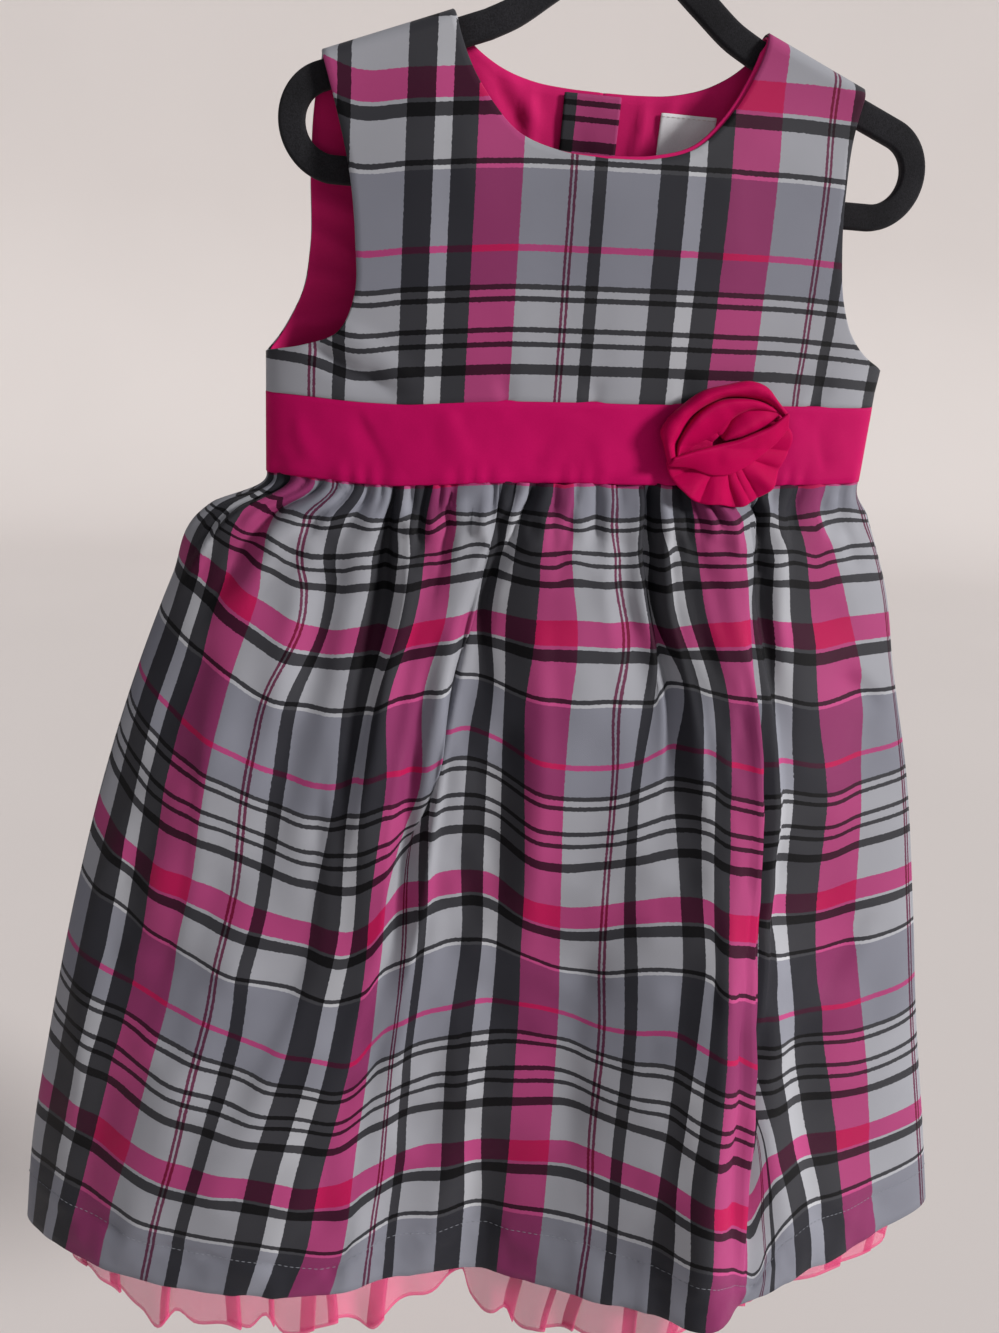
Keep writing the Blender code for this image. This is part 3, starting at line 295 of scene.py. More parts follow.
BACK_GATHERS = (
    (12, 3, 28, 6, 2.8), (28, 6, 44, 6, 3.6), (45, 2, 18, 5, 2.2), (58, -4, 32, 6, 3.2),
    (74, 3, 60, 6, 3.8), (90, 0, 20, 5, 2.4), (104, -6, 36, 6, 3.4), (121, 4, 24, 5, 2.6),
    (136, 2, 16, 5, 2.2), (152, -5, 84, 6, 4.4), (168, 3, 22, 5, 2.6), (184, 4, 34, 6, 3.2),
    (203, -3, 26, 6, 3.0), (219, 0, 18, 5, 2.2), (236, 8, 56, 6, 4.0), (254, -3, 22, 6, 2.8),
    (270, 4, 30, 5, 3.0), (289, -4, 24, 6, 2.8), (306, 3, 42, 6, 3.6), (322, 0, 16, 5, 2.2),
    (340, -6, 74, 6, 4.2), (357, 4, 24, 6, 2.8), (374, 3, 34, 5, 3.0), (392, -4, 20, 6, 2.6),
    (409, 5, 48, 6, 3.8), (427, 0, 22, 5, 2.4), (443, -4, 30, 6, 3.0), (460, 4, 38, 6, 3.4),
    (478, 3, 18, 5, 2.2), (493, -3, 34, 6, 3.2), (510, 6, 26, 5, 2.8), (526, 3, 20, 5, 2.4),
)
GATHER_PUFF, GATHER_DEPTH = 2.4, 1.55
LOOSE_AT, LOOSE_REACH = 24.0, 22.0          # where the gathered cloth is loosest, and how far around
LOOSE_DROP, LOOSE_ASIDE = 2.6, 3.0
GROOVE_DEPTH, GROOVE_CRUMPLE, GROOVE_REACH = 0.6, 0.5, 2.4      # at the hem's line of stitches
CALM_AT_SEAM = (3.0, 36.0)
HEM_DEPTH = 20.0            # from the skirt's edge up to the line of stitches
NET_BOTTOM, NET_RUFFLE_TOP = 458.0, 372.0
FRONT_NET_FOLDS = (         # place on the ring, overlap, lean of the fold
    (14, 5, 2), (40, 6, -2), (77, 6, -5), (111, 8, 1), (133, 3, 0), (156, 8, -2), (166, 5, 3),
    (197, 9, -3), (238, 8, 4), (281, 6, -5), (303, 3, -6), (317, 7, -6), (346, 8, 2), (378, 6, -3),
    (410, 8, 2), (437, 5, 4), (468, 8, -3), (497, 6, 2), (518, 4, 0),
)
BACK_NET_FOLDS = (
    (16, 4, 2), (44, 8, -3), (70, 5, 2), (104, 7, 4), (131, 4, -3), (162, 8, 2), (190, 5, -4),
    (226, 9, 3), (251, 4, 2), (287, 7, -3), (318, 8, 4), (342, 4, -2), (377, 7, 3), (409, 6, -4),
    (441, 8, 2), (470, 5, 3), (502, 7, -2), (524, 4, 0),
)
FRONT_NET_ENDS = (          # place on the ring, how much higher the net ends there
    (0, 8), (38, 4), (46, -2), (58, -6), (77, -8), (81, 0), (92, -5), (108, -1), (120, -4), (131, 6),
    (136, -4), (154, -5), (168, 2), (184, -4), (195, -8), (201, -2), (213, 6), (228, 10), (236, 22),
    (244, 22), (250, 5), (258, -3), (270, -3), (279, 1), (284, -9), (300, -10), (318, -5), (346, -6),
    (374, 4), (400, 10), (470, 10), (534, 8),
)
BACK_NET_ENDS = (
    (0, 9), (44, 4), (72, 0), (104, 5), (131, 8), (162, 2), (192, 0), (226, 6), (252, 10), (288, 3),
    (318, 0), (342, 6), (377, 8), (410, 2), (442, 0), (470, 5), (502, 4), (540, 9),
)
NET_TUCK = (-9.0, -5.0)
NET_BEHIND = 3.0
NET_INSET = ((-1.0, 9.0), (8.0, 11.5), (70.0, 15.0), (180.0, 17.0), (458.0, 22.0))

# ---------------------------------------------------------------- sizes of the rosette

ROSE_X, ROSE_DROP = 63.5, 160.5
ROSE_LEAN = 0.27
ROSE_CURVES = {             # height off the band, then sideways and up from the flower's middle
    "outer_rim": (5.0, ((-26.2, -8.2), (-29.1, 0.3), (-30.8, 5.2), (-28.5, 10.2), (-22.1, 16.9),
                        (-14.5, 22.7), (-3.9, 26.0), (8.1, 28.2), (14.4, 26.6), (21.5, 20.3), (27.4, 15.2))),
    "outer_seam": (5.0, ((-22.9, -6.5), (-23.8, -0.3), (-21.4, 5.8), (-18.6, 11.8), (-11.0, 18.1),
                         (-3.0, 21.5), (6.0, 22.0), (14.4, 21.0), (21.6, 17.4), (26.9, 12.7))),
    "inner_rim": (5.0, ((-22.6, -6.6), (-22.5, -0.3), (-19.7, 7.3), (-14.4, 14.4), (-6.6, 19.3),
                        (2.8, 20.8), (13.3, 19.9), (22.2, 16.4))),
    "slit": (2.6, ((-22.7, -5.6), (-16.0, -1.9), (-8.4, 2.4), (-3.5, 5.6), (-0.9, 9.8),
                   (1.6, 14.3), (4.3, 17.9))),
    "heart_left": (2.8, ((-2.6, 4.3), (-0.1, 9.4), (2.4, 14.0), (5.1, 17.6), (11.0, 19.0))),
    "heart_right": (5.6, ((-1.3, 2.9), (7.0, 5.3), (14.2, 8.6), (19.2, 11.6), (23.0, 15.4))),
    "lip_top": (8.4, ((-24.7, -5.8), (-15.4, -2.4), (-4.0, 1.0), (4.3, 3.4), (11.4, 6.5),
                      (18.1, 9.6), (25.9, 15.9))),
    "lip_bottom": (4.6, ((-26.2, -9.2), (-16.1, -9.6), (-5.3, -12.2), (2.2, -11.6), (8.6, -8.7),
                         (16.6, -3.4), (23.4, 2.4), (28.5, 9.2))),
}
RUFFLE_RIM = (
    (-26.6, -3.0), (-26.1, -8.5), (-23.1, -14.2), (-20.2, -18.5), (-15.7, -22.2), (-8.1, -24.4),
    (-0.4, -25.3), (7.9, -25.3), (15.0, -23.6), (20.4, -19.9), (24.1, -15.8), (28.2, -8.7),
    (31.1, -0.1), (31.0, 7.0), (25.5, 13.5), (19.0, 18.5), (12.0, 23.0), (4.0, 25.0), (-5.0, 23.5),
    (-14.0, 19.5), (-21.0, 14.0), (-25.5, 8.5), (-27.0, 2.5),
)
RUFFLE_CREASES = (          # degrees, half width in degrees, depth, lean in degrees
    (-168, 7, 1.6, 4), (-143, 8, 2.4, -8), (-120, 6, 1.6, 5), (-86, 9, 3, 10),
    (-66, 6, 1.8, 6), (-45, 8, 2.6, -6), (-22, 9, 2.8, 5), (4, 7, 2, -4),
    (40, 8, 1.5, 0), (85, 8, 1.5, 0), (130, 8, 1.5, 0), (164, 7, 1.5, 0),
)
ROSE_PETALS = (             # name, rim, other edge, crown, where it is highest, flat length and width
    ("rosette_outer_fold", "outer_rim", "outer_seam", 4.2, 0.42, 0.090, 0.011),
    ("rosette_inner_fold", "inner_rim", "slit", 4.6, 0.22, 0.060, 0.014),
    ("rosette_heart", "heart_left", "heart_right", 2.8, 0.55, 0.024, 0.010),
    ("rosette_lip", "lip_top", "lip_bottom", 2.2, 0.16, 0.060, 0.011),
)

# ---------------------------------------------------------------- creases

BODICE_CREASES = (          # from sideways, drop, to sideways, drop, half width, out, lean
    (-122, 129, -84, 147, 4, -2.2, 0.3),
    (-112, 120, -70, 148, 7, 1.5, 0.3),
    (-97, 138, -78, 149, 3.5, -1.4, -0.2),
    (-34, 150, -38, 136, 3.5, -1.1, 0.2),
    (4, 150, 2, 134, 4, -1.2, -0.2),
    (40, 149, 44, 130, 4, -1.1, 0.3),
    (104, 146, 112, 128, 4, -1.4, 0.2),
    (-30, 140, -36, 100, 8, 0.5, 0),
    (112, 112, 84, 146, 8, -1, -0.3),
    (52, 40, 58, 96, 10, 0.7, 0.2),
    (-58, 34, -50, 84, 9, 0.5, -0.2),
    (18, 150, 12, 96, 10, 0.5, 0.3),
    (-8, 60, -16, 110, 14, -0.5, 0),
)
BACK_CREASES = (
    (116, 118, 82, 148, 7, -1.2, 0.2),
    (-120, 124, -88, 148, 8, -1.1, -0.2),
    (60, 30, 66, 90, 10, 0.6, 0.2),
    (-60, 34, -54, 92, 11, 0.6, 0),
    (34, 150, 28, 108, 9, 0.6, 0.2),
    (-32, 150, -38, 100, 10, 0.5, -0.2),
)
LINING_CREASES = (
    (-56, 14, -34, 46, 3.5, 2, 0.3),
    (-44, 17, -24, 38, 2.8, 1.7, 0),
    (-30, 20, -26, 56, 3, 1.5, 0.2),
    (18, 22, 14, 50, 2.8, 1.6, -0.3),
    (32, 20, 22, 58, 3, 1.4, 0.2),
    (58, 10, 50, 44, 3.5, 1.8, 0.2),
    (-130, 46, -96, 60, 3.2, 2, 0.3),
    (-132, 68, -94, 76, 3.5, 2.4, 0),
    (-130, 80, -98, 96, 3, 2, -0.3),
    (-134, 100, -92, 106, 4, 2.6, 0.2),
    (-132, 122, -96, 114, 3.2, 1.9, 0.3),
    (106, 70, 78, 86, 5, 1, 0.2),
)
BAND_CREASES = (            # drops are below the band's upper seam
    (-100, 4, -84, 33, 4.5, -0.8, 0.4),
    (-62, 2, -52, 30, 5.5, 0.7, 0.2),
    (-24, 30, -14, 8, 6, -0.6, -0.3),
    (14, 34, 6, 12, 5, 0.6, 0.3),
    (38, 6, 34, 32, 4, -0.7, 0.2),
    (96, 3, 102, 30, 6, 0.6, -0.2),
    (118, 30, 110, 6, 4, -0.6, 0.3),
    (-126, 8, -118, 30, 4, 0.6, 0),
)
SKIRT_CREASES = (           # from place, level, to place, level, half width, out, lean
    (40, 6, 12, 60, 6, 2.6, 0.4),
    (62, 4, 34, 70, 5, -2.4, -0.4),
    (82, 4, 56, 66, 6, 2.2, 0.3),
    (126, 6, 129, 190, 7, -4.8, 0.5),
    (145, 6, 147, 200, 7, 2.8, -0.3),
    (228, 30, 186, 240, 7, -5, 0.5),
    (206, 70, 168, 300, 9, 2.6, 0.3),
    (188, 220, 196, 400, 10, -2.8, 0),
    (236, 4, 232, 90, 6, -2, 0),
    (346, 2, 334, 150, 5, -4.2, -0.5),
    (362, 6, 358, 160, 6, 2.8, 0.3),
    (450, 10, 452, 300, 6, -4.6, -0.5),
    (452, 270, 420, 416, 6, -4.4, -0.5),
    (428, 60, 434, 290, 8, 3.2, 0.4),
    (434, 250, 406, 416, 8, 3.4, 0.4),
    (474, 30, 472, 210, 7, 2.4, 0),
    (500, 90, 520, 112, 6, -2.6, 0.3),
    (508, 220, 486, 270, 7, -2.2, 0.4),
    (96, 180, 84, 400, 14, 2.4, 0),
    (112, 120, 104, 330, 8, -2.4, 0.3),
    (300, 210, 306, 400, 12, -2.2, 0.2),
    (276, 60, 270, 260, 9, 2.2, 0.2),
    (236, 240, 232, 410, 12, 2.2, -0.2),
    (24, 150, 30, 330, 9, 1.8, 0),
    (48, 110, 52, 300, 8, -2.2, 0.3),
    (484, 260, 476, 410, 10, -2.4, 0),
)
BACK_SKIRT_CREASES = (
    (52, 4, 30, 80, 6, 2.4, 0.3),
    (96, 4, 88, 130, 7, -3.6, -0.4),
    (128, 6, 124, 190, 8, 2.6, 0.2),
    (176, 4, 182, 150, 7, -3.4, 0.4),
    (214, 60, 222, 330, 8, -4, 0.5),
    (262, 4, 258, 110, 6, 2.6, -0.3),
    (298, 8, 306, 170, 7, -3.2, 0.3),
    (352, 30, 344, 380, 8, -4.6, -0.5),
    (398, 4, 404, 120, 6, 2.8, 0.2),
    (446, 4, 452, 90, 6, -2.8, 0.4),
    (492, 10, 508, 130, 7, 2.2, 0),
    (74, 200, 66, 410, 13, 2.4, 0.2),
    (430, 190, 446, 410, 12, 2.6, -0.2),
)

# ---------------------------------------------------------------- the plaid's chart

WARP_REPEAT, WEFT_REPEAT = 111.0, 137.5
WARP_UNITS = 247.0
WARP = (                    # yarn, width in units, from the middle of the white stripe
    ("white", 8), ("dark", 24), ("pink", 46), ("light", 48), ("wine", 3), ("light", 2), ("wine", 3),
    ("light", 16), ("dark", 13), ("light", 50), ("dark", 26), ("white", 8),
)
WEFT = (                    # yarn, millimetres, from the top of the wide pink bar
    ("pink", 11.4), ("light", 2.0), ("dark", 5.0), ("light", 16.2), ("dark", 2.4), ("white", 1.6),
    ("mid", 28.6), ("pink", 3.0), ("mid", 12.8), ("dark", 2.0), ("light", 3.0), ("dark", 2.0),
    ("light", 10.2), ("dark", 1.9), ("light", 4.2), ("dark", 1.9), ("light", 7.2), ("dark", 4.2),
    ("light", 17.9),
)
WARP_START, WEFT_START = -69.0, 25.0        # where the chart begins on the bodice
BODICE_HANG = (             # sideways, how far the front's cloth is pulled aside and up from there
    (-140.0, -1.0, 8.0), (-119.0, -1.4, 6.0), (-103.0, -1.4, 1.6), (-80.0, -1.4, 4.2),
    (-57.0, -0.6, 6.6), (-34.0, 0.8, 8.8), (-11.0, 3.4, 9.8), (12.0, 4.2, 10.6), (36.0, 3.8, 11.4),
    (60.0, 3.4, 12.0), (84.0, 3.0, 12.7), (112.0, 5.2, 12.2), (140.0, 5.0, 11.0),
)
SKIRT_WARP_START, SKIRT_WEFT_START = 28.0, 68.5
FACING_WARP_START, FACING_WEFT_START = -9.5, -76.5


# ---------------------------------------------------------------- settings

def colour(label, text, value):
    """A colour property."""
    return FloatVectorProperty(name=label, description=text, subtype="COLOR", size=3, min=0.0, max=1.0,
                               default=value)


def share(label, text, value, low=0.0, high=1.0):
    """A plain number property."""
    return FloatProperty(name=label, description=text, default=value, min=low, max=high)


def distance(label, text, value, low, high, digits):
    """A property in metres."""
    return FloatProperty(name=label, description=text, default=value, min=low, max=high, unit="LENGTH",
                         precision=digits)


class PlaidSettings(bpy.types.PropertyGroup):
    """Yarns and finish of the plaid taffeta."""
    light: colour("Light yarn", "Silver grey ground of the plaid", (0.305, 0.312, 0.345))
    mid: colour("Blue-grey yarn", "Cooler bar of the weft", (0.125, 0.131, 0.170))
    dark: colour("Charcoal yarn", "Dark stripes, near black where they cross", (0.0042, 0.0042, 0.0052))
    white: colour("White yarn", "Narrow bright stripe between two dark ones", (0.50, 0.51, 0.54))
    pink: colour("Pink yarn", "Wide fuchsia stripe and bars", (0.41, 0.0078, 0.077))
    wine: colour("Wine yarn", "Fine double stripe", (0.050, 0.003, 0.013))
    roughness: share("Roughness", "Roughness of the taffeta", 0.46)
    sheen: share("Sheen", "Soft light along the edges of folds", 0.01)
    weave: distance("Yarn pitch", "Distance from yarn to yarn", 0.0005, 0.0002, 0.002, 5)
    relief: distance("Weave relief", "Height of the yarns over the gaps", 0.00004, 0.0, 0.0005, 6)


class SatinSettings(bpy.types.PropertyGroup):
    """Colour and finish of the waistband, the rosette and the lining."""
    band: colour("Band colour", "Fuchsia of the waistband", (0.47, 0.0042, 0.100))
    rose: colour("Rosette colour", "Fuchsia of the rosette", (0.45, 0.0012, 0.070))
    lining: colour("Lining colour", "Fuchsia of the lining", (0.54, 0.014, 0.125))
    roughness: share("Roughness", "Roughness of the satin", 0.44)
    sheen: share("Sheen", "Soft light along the edges of folds", 0.02)
    crease: share("Crease depth", "Scale of all hand-placed creases", 1.0, 0.0, 2.0)


class NetSettings(bpy.types.PropertyGroup):
    """Colour and folds of the net ruffle."""
    colour: colour("Net colour", "Pink of the net", (0.80, 0.07, 0.24))
    cover: share("Cover", "How much one side of the net covers", 0.36)
    fold: share("Fold overlap", "Scale of the ruffle's overlaps", 1.0, 0.0, 2.0)


class HangerSettings(bpy.types.PropertyGroup):
    """Finish of the hanger."""
    flock: colour("Flock colour", "Black velvet flock of the hanger", (0.010, 0.010, 0.012))
    metal: colour("Hook colour", "Plated wire of the hook", (0.62, 0.62, 0.64))
    pile: distance("Pile relief", "Height of the flock's pile", 0.0001, 0.0, 0.001, 6)


class StitchSettings(bpy.types.PropertyGroup):
    """Size of the sewing stitches."""
    spacing: distance("Spacing", "From stitch to stitch", 0.0031, 0.001, 0.01, 4)
    length: distance("Stitch length", "Length of one stitch", 0.0022, 0.0005, 0.01, 4)
    radius: distance("Thread radius", "Half of the thread's thickness", 0.00018, 0.00005, 0.001, 5)
    seed: IntProperty(name="Seed", description="Seed of the small unevenness", default=4, min=0)
    thread: colour("Thread colour", "Grey sewing thread", (0.22, 0.23, 0.26))
    label_thread: colour("Label thread", "Pale sewing thread of the label", (0.72, 0.66, 0.66))


class StageSettings(bpy.types.PropertyGroup):
    """Floor, light and camera."""
    paper: colour("Stage colour", "Pale floor and backdrop", (0.68, 0.64, 0.625))
    air: colour("Fill colour", "Light that comes from all sides", (0.93, 0.92, 0.95))
    fill: share("Fill light", "Strength of the light from all sides", 0.30, 0.0, 5.0)
    key: FloatProperty(name="Key light", description="Strength of the large soft light", default=3.6, min=0.0)
    floor: FloatProperty(name="Floor height", description="Level of the floor under the hook",
                         default=-0.98, max=0.0, unit="LENGTH")
    lens: FloatProperty(name="Lens", description="Focal length for a 36 mm long side",
                        default=36.0 * 1007.0 / 1333.0, min=10.0, max=200.0)


SETTINGS = {
    "dress_plaid": PlaidSettings,
    "dress_satin": SatinSettings,
    "dress_net": NetSettings,
    "dress_hanger": HangerSettings,
    "dress_stitch": StitchSettings,
    "dress_stage": StageSettings,
}


# ---------------------------------------------------------------- numbers

def hook_rise():
    """From the shoulder points' level up to the inside top of the hook."""
    return -ARM_CURVE[0][1] + STROKE / 2 + 0.6 + NECK_HEIGHT + SHANK + HOOK_RADIUS - WIRE


def to_world(points, shift=DRESS_SHIFT):
    """Turns rows of sideways, out, drop into metres."""
    points = np.asarray(points, float)
    return np.stack((
        (points[..., 0] + shift) * MM,
        -points[..., 1] * MM,
        -(points[..., 2] + hook_rise()) * MM,
    ), axis=-1)


def curve_cell(keys, at):
    """The cell of a table that each place lies in, its width and how far through it the place is."""
    cell = np.clip(np.searchsorted(keys, at, side="right") - 1, 0, len(keys) - 2)
    step = keys[cell + 1] - keys[cell]
    return cell, step, np.clip((at - keys[cell]) / step, 0.0, 1.0)


def hermite(t, step, first, last, leaving, arriving):
    """Between two values with given slopes, t from 0 to 1."""
    return ((2 * t ** 3 - 3 * t ** 2 + 1) * first + (t ** 3 - 2 * t ** 2 + t) * step * leaving
            + (3 * t ** 2 - 2 * t ** 3) * last + (t ** 3 - t ** 2) * step * arriving)


def through(keys, values, at):
    """A smooth curve through a table's values, read at other keys."""
    keys, values, at = (np.asarray(each, float) for each in (keys, values, at))
    slope = np.gradient(values, keys, axis=0)
    cell, step, t = curve_cell(keys, at)
    if values.ndim > 1:
        step, t = step[..., None], t[..., None]
    return hermite(t, step, values[cell], values[cell + 1], slope[cell], slope[cell + 1])


def ease(value, low, high):
    """0 below low, 1 above high, smooth between."""
    t = np.clip((np.asarray(value, float) - low) / (high - low), 0.0, 1.0)
    return t * t * (3.0 - 2.0 * t)


def finer(values, times):
    """A list with evenly spaced values put between its neighbours."""
    values = np.asarray(values, float)
    steps = np.arange(times) / times
    made = (values[:-1, None] + np.diff(values)[:, None] * steps).ravel()
    return np.append(made, values[-1])


def crumple(u, v, pitch, seed):
    """Soft unevenness from -1 to 1 that repeats nowhere, on a lattice with the given pitch."""
    u = np.nan_to_num(np.asarray(u, float)) / pitch + 64.0
    v = np.nan_to_num(np.asarray(v, float)) / pitch + 64.0
    lattice = np.random.default_rng(seed).uniform(-1.0, 1.0, (512, 512))
    i, j = np.floor(u).astype(int), np.floor(v).astype(int)
    s, t = u - i, v - j
    s, t = s * s * (3 - 2 * s), t * t * (3 - 2 * t)
    i, j = i % 511, j % 511
    upper = lattice[i, j] * (1 - s) + lattice[i + 1, j] * s
    lower = lattice[i, j + 1] * (1 - s) + lattice[i + 1, j + 1] * s
    return upper * (1 - t) + lower * t


def creases(u, v, table, scale=1.0):
    """How far the listed creases push a surface out at places across and down it."""
    u, v = np.nan_to_num(u), np.nan_to_num(v)
    total = np.zeros_like(u)
    for number, (u0, v0, u1, v1, width, out, lean) in enumerate(table):
        du, dv = u1 - u0, v1 - v0
        long = math.hypot(du, dv)
        along = ((u - u0) * du + (v - v0) * dv) / long ** 2
        bow = math.sin(number * 2.4) * 0.05 * long * np.sin(math.pi * np.clip(along, 0.0, 1.0))
        off = ((u - u0) * dv - (v - v0) * du) / long - bow
        wide = width * np.where(off > 0, 1.0 - lean, 1.0 + lean) * (0.75 + 0.5 * np.clip(along, 0, 1))
        ends = ease(along, -0.08, 0.25) * (1.0 - ease(along, 0.6, 1.12))
        total += out * ends * np.exp(-(off / wide) ** 2)
    return total * scale


# ---------------------------------------------------------------- meshes

def grid_faces(grid, closed=False):
    """Quads between the rows and columns of a grid, none where a corner has no point."""
    rows, columns = grid.shape[:2]
    number = np.arange(rows * columns).reshape(rows, columns)
    if closed:
        number = np.concatenate((number, number[:, :1]), axis=1)
    quads = np.stack((number[:-1, :-1], number[1:, :-1], number[1:, 1:], number[:-1, 1:]), axis=-1)
    quads = quads.reshape(-1, 4)
    there = ~np.isnan(grid[..., 0]).ravel()
    return quads[there[quads].all(axis=1)]


def surface_normals(points, faces):
    """Unit normals at the points of a sheet."""
    corners = points[faces]
    area = np.cross(corners[:, 2] - corners[:, 0], corners[:, -1] - corners[:, 1])
    total = np.zeros_like(points)
    for corner in range(faces.shape[1]):
        np.add.at(total, faces[:, corner], area)
    return total / np.maximum(np.linalg.norm(total, axis=1, keepdims=True), 1e-9)


def outward(grid, face=0, closed=False):
    """Unit normals of a grid; face 1 or -1 turns them to the front or the back."""
    points = np.nan_to_num(grid.reshape(-1, 3))
    normal = surface_normals(points, grid_faces(grid, closed))
    if face:
        normal *= np.sign(face * normal[:, 1].sum())
    return normal.reshape(grid.shape)


def own_side(points, face):
    """Keeps points on one side of the plane between the front and the back."""
    points[..., 1] = face * np.maximum(face * points[..., 1], GAP)
    return points


def add_object(name, mesh, look):
    """Links a mesh with its finish."""
    made = bpy.data.objects.new(name, mesh)
    mesh.materials.append(look)
    bpy.context.scene.collection.objects.link(made)
    return made


def finish_piece(piece, slot, *nodes):
    """The piece rides with the row's one body and stands for its solids."""
    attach(piece, "root")
    if nodes:
        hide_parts(*nodes)
    return piece


def cloth(name, grid, chart, thickness, look, face=0, closed=False, normal=None, split=True):
    """A thin closed shell of cloth round a grid of points, with a rounded edge and its chart as UV."""
    if normal is None:
        normal = outward(grid, face, closed)
    points = np.nan_to_num(grid.reshape(-1, 3))
    lift = normal.reshape(-1, 3) * thickness / 2
    faces = grid_faces(grid, closed)
    edges = np.concatenate([faces[:, [a, (a + 1) % 4]] for a in range(4)])
    keys = np.sort(edges, axis=1)
    _, first, count = np.unique(keys, axis=0, return_index=True, return_counts=True)
    border = edges[first[count == 1]]
    along = points[border[:, 1]] - points[border[:, 0]]
    corners = points[faces[0]]
    turned = np.cross(corners[1] - corners[0], corners[2] - corners[1]) @ lift[faces[0][0]] < 0
    aside = np.cross(along, lift[border[:, 0]] + lift[border[:, 1]]) * (-1.0 if turned else 1.0)
    aside /= np.maximum(np.linalg.norm(aside, axis=1, keepdims=True), 1e-9)
    push = np.zeros_like(points)
    np.add.at(push, border[:, 0], aside)
    np.add.at(push, border[:, 1], aside)
    push /= np.maximum(np.linalg.norm(push, axis=1, keepdims=True), 1e-9)
    outer, inner = points + lift, points - lift
    if face and split:
        outer, inner = own_side(outer, face), own_side(inner, face)
    rim = np.unique(border)
    middle = points[rim] + push[rim] * thickness * 0.45
    if face and split:
        middle = own_side(middle, face)
    used = np.unique(faces)
    number = np.full(len(points), -1)
    number[used] = np.arange(len(used))
    rim_number = np.full(len(points), -1)
    rim_number[rim] = np.arange(len(rim)) + 2 * len(used)
    total = np.concatenate((outer[used], inner[used], middle))
    front = number[faces]
    back = front[:, ::-1] + len(used)
    a, b = border[:, 0], border[:, 1]
    upper = np.stack((number[b], number[a], rim_number[a], rim_number[b]), axis=1)
    lower = np.stack((rim_number[b], rim_number[a], number[a] + len(used), number[b] + len(used)), axis=1)
    quads = np.concatenate((front, back, upper, lower))
    if turned:
        quads = quads[:, ::-1]
    uv = chart.reshape(-1, 2)
    uv = np.concatenate((uv[used], uv[used], uv[rim]))
    mesh = bpy.data.meshes.new(name)
    mesh.from_pydata(to_world(total).tolist(), [], quads.tolist())
    layer = mesh.uv_layers.new(name="UVMap")
    index = np.empty(len(mesh.loops), np.int32)
    mesh.loops.foreach_get("vertex_index", index)
    layer.data.foreach_set("uv", np.nan_to_num(uv[index]).astype(np.float32).ravel())
    mesh.shade_smooth()
    return add_object(name, mesh, look)


def tube(name, rows, look, caps=True):
    """A closed skin over rings of points in metres, each ring the same length."""
    rings, around = rows.shape[:2]
    number = np.arange(rings * around).reshape(rings, around)
    wrapped = np.concatenate((number, number[:, :1]), axis=1)
    if not caps:
        wrapped = np.concatenate((wrapped, wrapped[:1]), axis=0)
    quads = np.stack((wrapped[:-1, :-1], wrapped[:-1, 1:], wrapped[1:, 1:], wrapped[1:, :-1]), axis=-1)
    faces = quads.reshape(-1, 4).tolist()
    if caps:
        faces += [number[0][::-1].tolist(), number[-1].tolist()]
    mesh = bpy.data.meshes.new(name)
    mesh.from_pydata(rows.reshape(-1, 3).tolist(), [], faces)
    made = bmesh.new()
    made.from_mesh(mesh)
    bmesh.ops.recalc_face_normals(made, faces=made.faces)
    made.to_mesh(mesh)
    made.free()
    mesh.shade_smooth()
    return add_object(name, mesh, look)


# ---------------------------------------------------------------- materials

def feed(node, feeds):
    """Gives a node's inputs links or plain values."""
    for key, value in feeds.items():
        if isinstance(value, bpy.types.NodeSocket):
            node.id_data.links.new(value, node.inputs[key])
        else:
            node.inputs[key].default_value = value


def add(tree, kind, feeds=None, **settings):
    """A new node with its settings and inputs."""
    node = tree.nodes.new(kind)
    for key, value in settings.items():
        setattr(node, key, value)
    feed(node, feeds or {})
    return node


def maths(tree, operation, *values):
    """The result of one Math node."""
    return add(tree, "ShaderNodeMath", dict(enumerate(values)), operation=operation).outputs[0]


def ramp(tree, factor, stops, interpolation="LINEAR"):
    """The colour of a ramp with the given places and colours."""
    node = add(tree, "ShaderNodeValToRGB", {0: factor})
    node.color_ramp.interpolation = interpolation
    elements = node.color_ramp.elements
    elements.remove(elements[1])
    elements[0].position = stops[0][0]
    elements[0].color = (*stops[0][1], 1.0)
    for place, value in stops[1:]:
        elements.new(place).color = (*value, 1.0)
    return node.outputs["Color"]


def bands(yarns, stripes, total):
    """Stops of a ramp for one direction of the chart; each holds the square root of its yarn."""
    stops, place = [], 0.0
    for yarn, width in stripes:
        stops.append((place / total, [math.sqrt(value) for value in getattr(yarns, yarn)]))
        place += width
    return stops


def plain_material(name):
    """A material with an empty Principled shader."""
    made = bpy.data.materials.new(name)
    made.use_nodes = True
    tree = made.node_tree
    return made, tree, tree.nodes["Principled BSDF"]


def places_on(tree):
    """The places in the chart and on the object itself."""
    places = add(tree, "ShaderNodeTexCoord")
    return places.outputs["UV"], places.outputs["Object"]


def dye(tree, base):
    """One plain colour."""
    ground = add(tree, "ShaderNodeRGB")
    ground.outputs[0].default_value = (*base, 1.0)
    return ground.outputs[0]


def weave(tree, uv, across, down, relief):
    """A plain weave as relief: yarns cross over and under each other."""
    apart = add(tree, "ShaderNodeSeparateXYZ", {0: uv})
    warp = maths(tree, "SINE", maths(tree, "MULTIPLY", apart.outputs[0], 2.0 * math.pi * across))
    weft = maths(tree, "SINE", maths(tree, "MULTIPLY", apart.outputs[1], 2.0 * math.pi * down))
    height = maths(tree, "MULTIPLY", warp, weft)
    return add(tree, "ShaderNodeBump", {"Height": height, "Distance": relief, "Strength": 1.0})


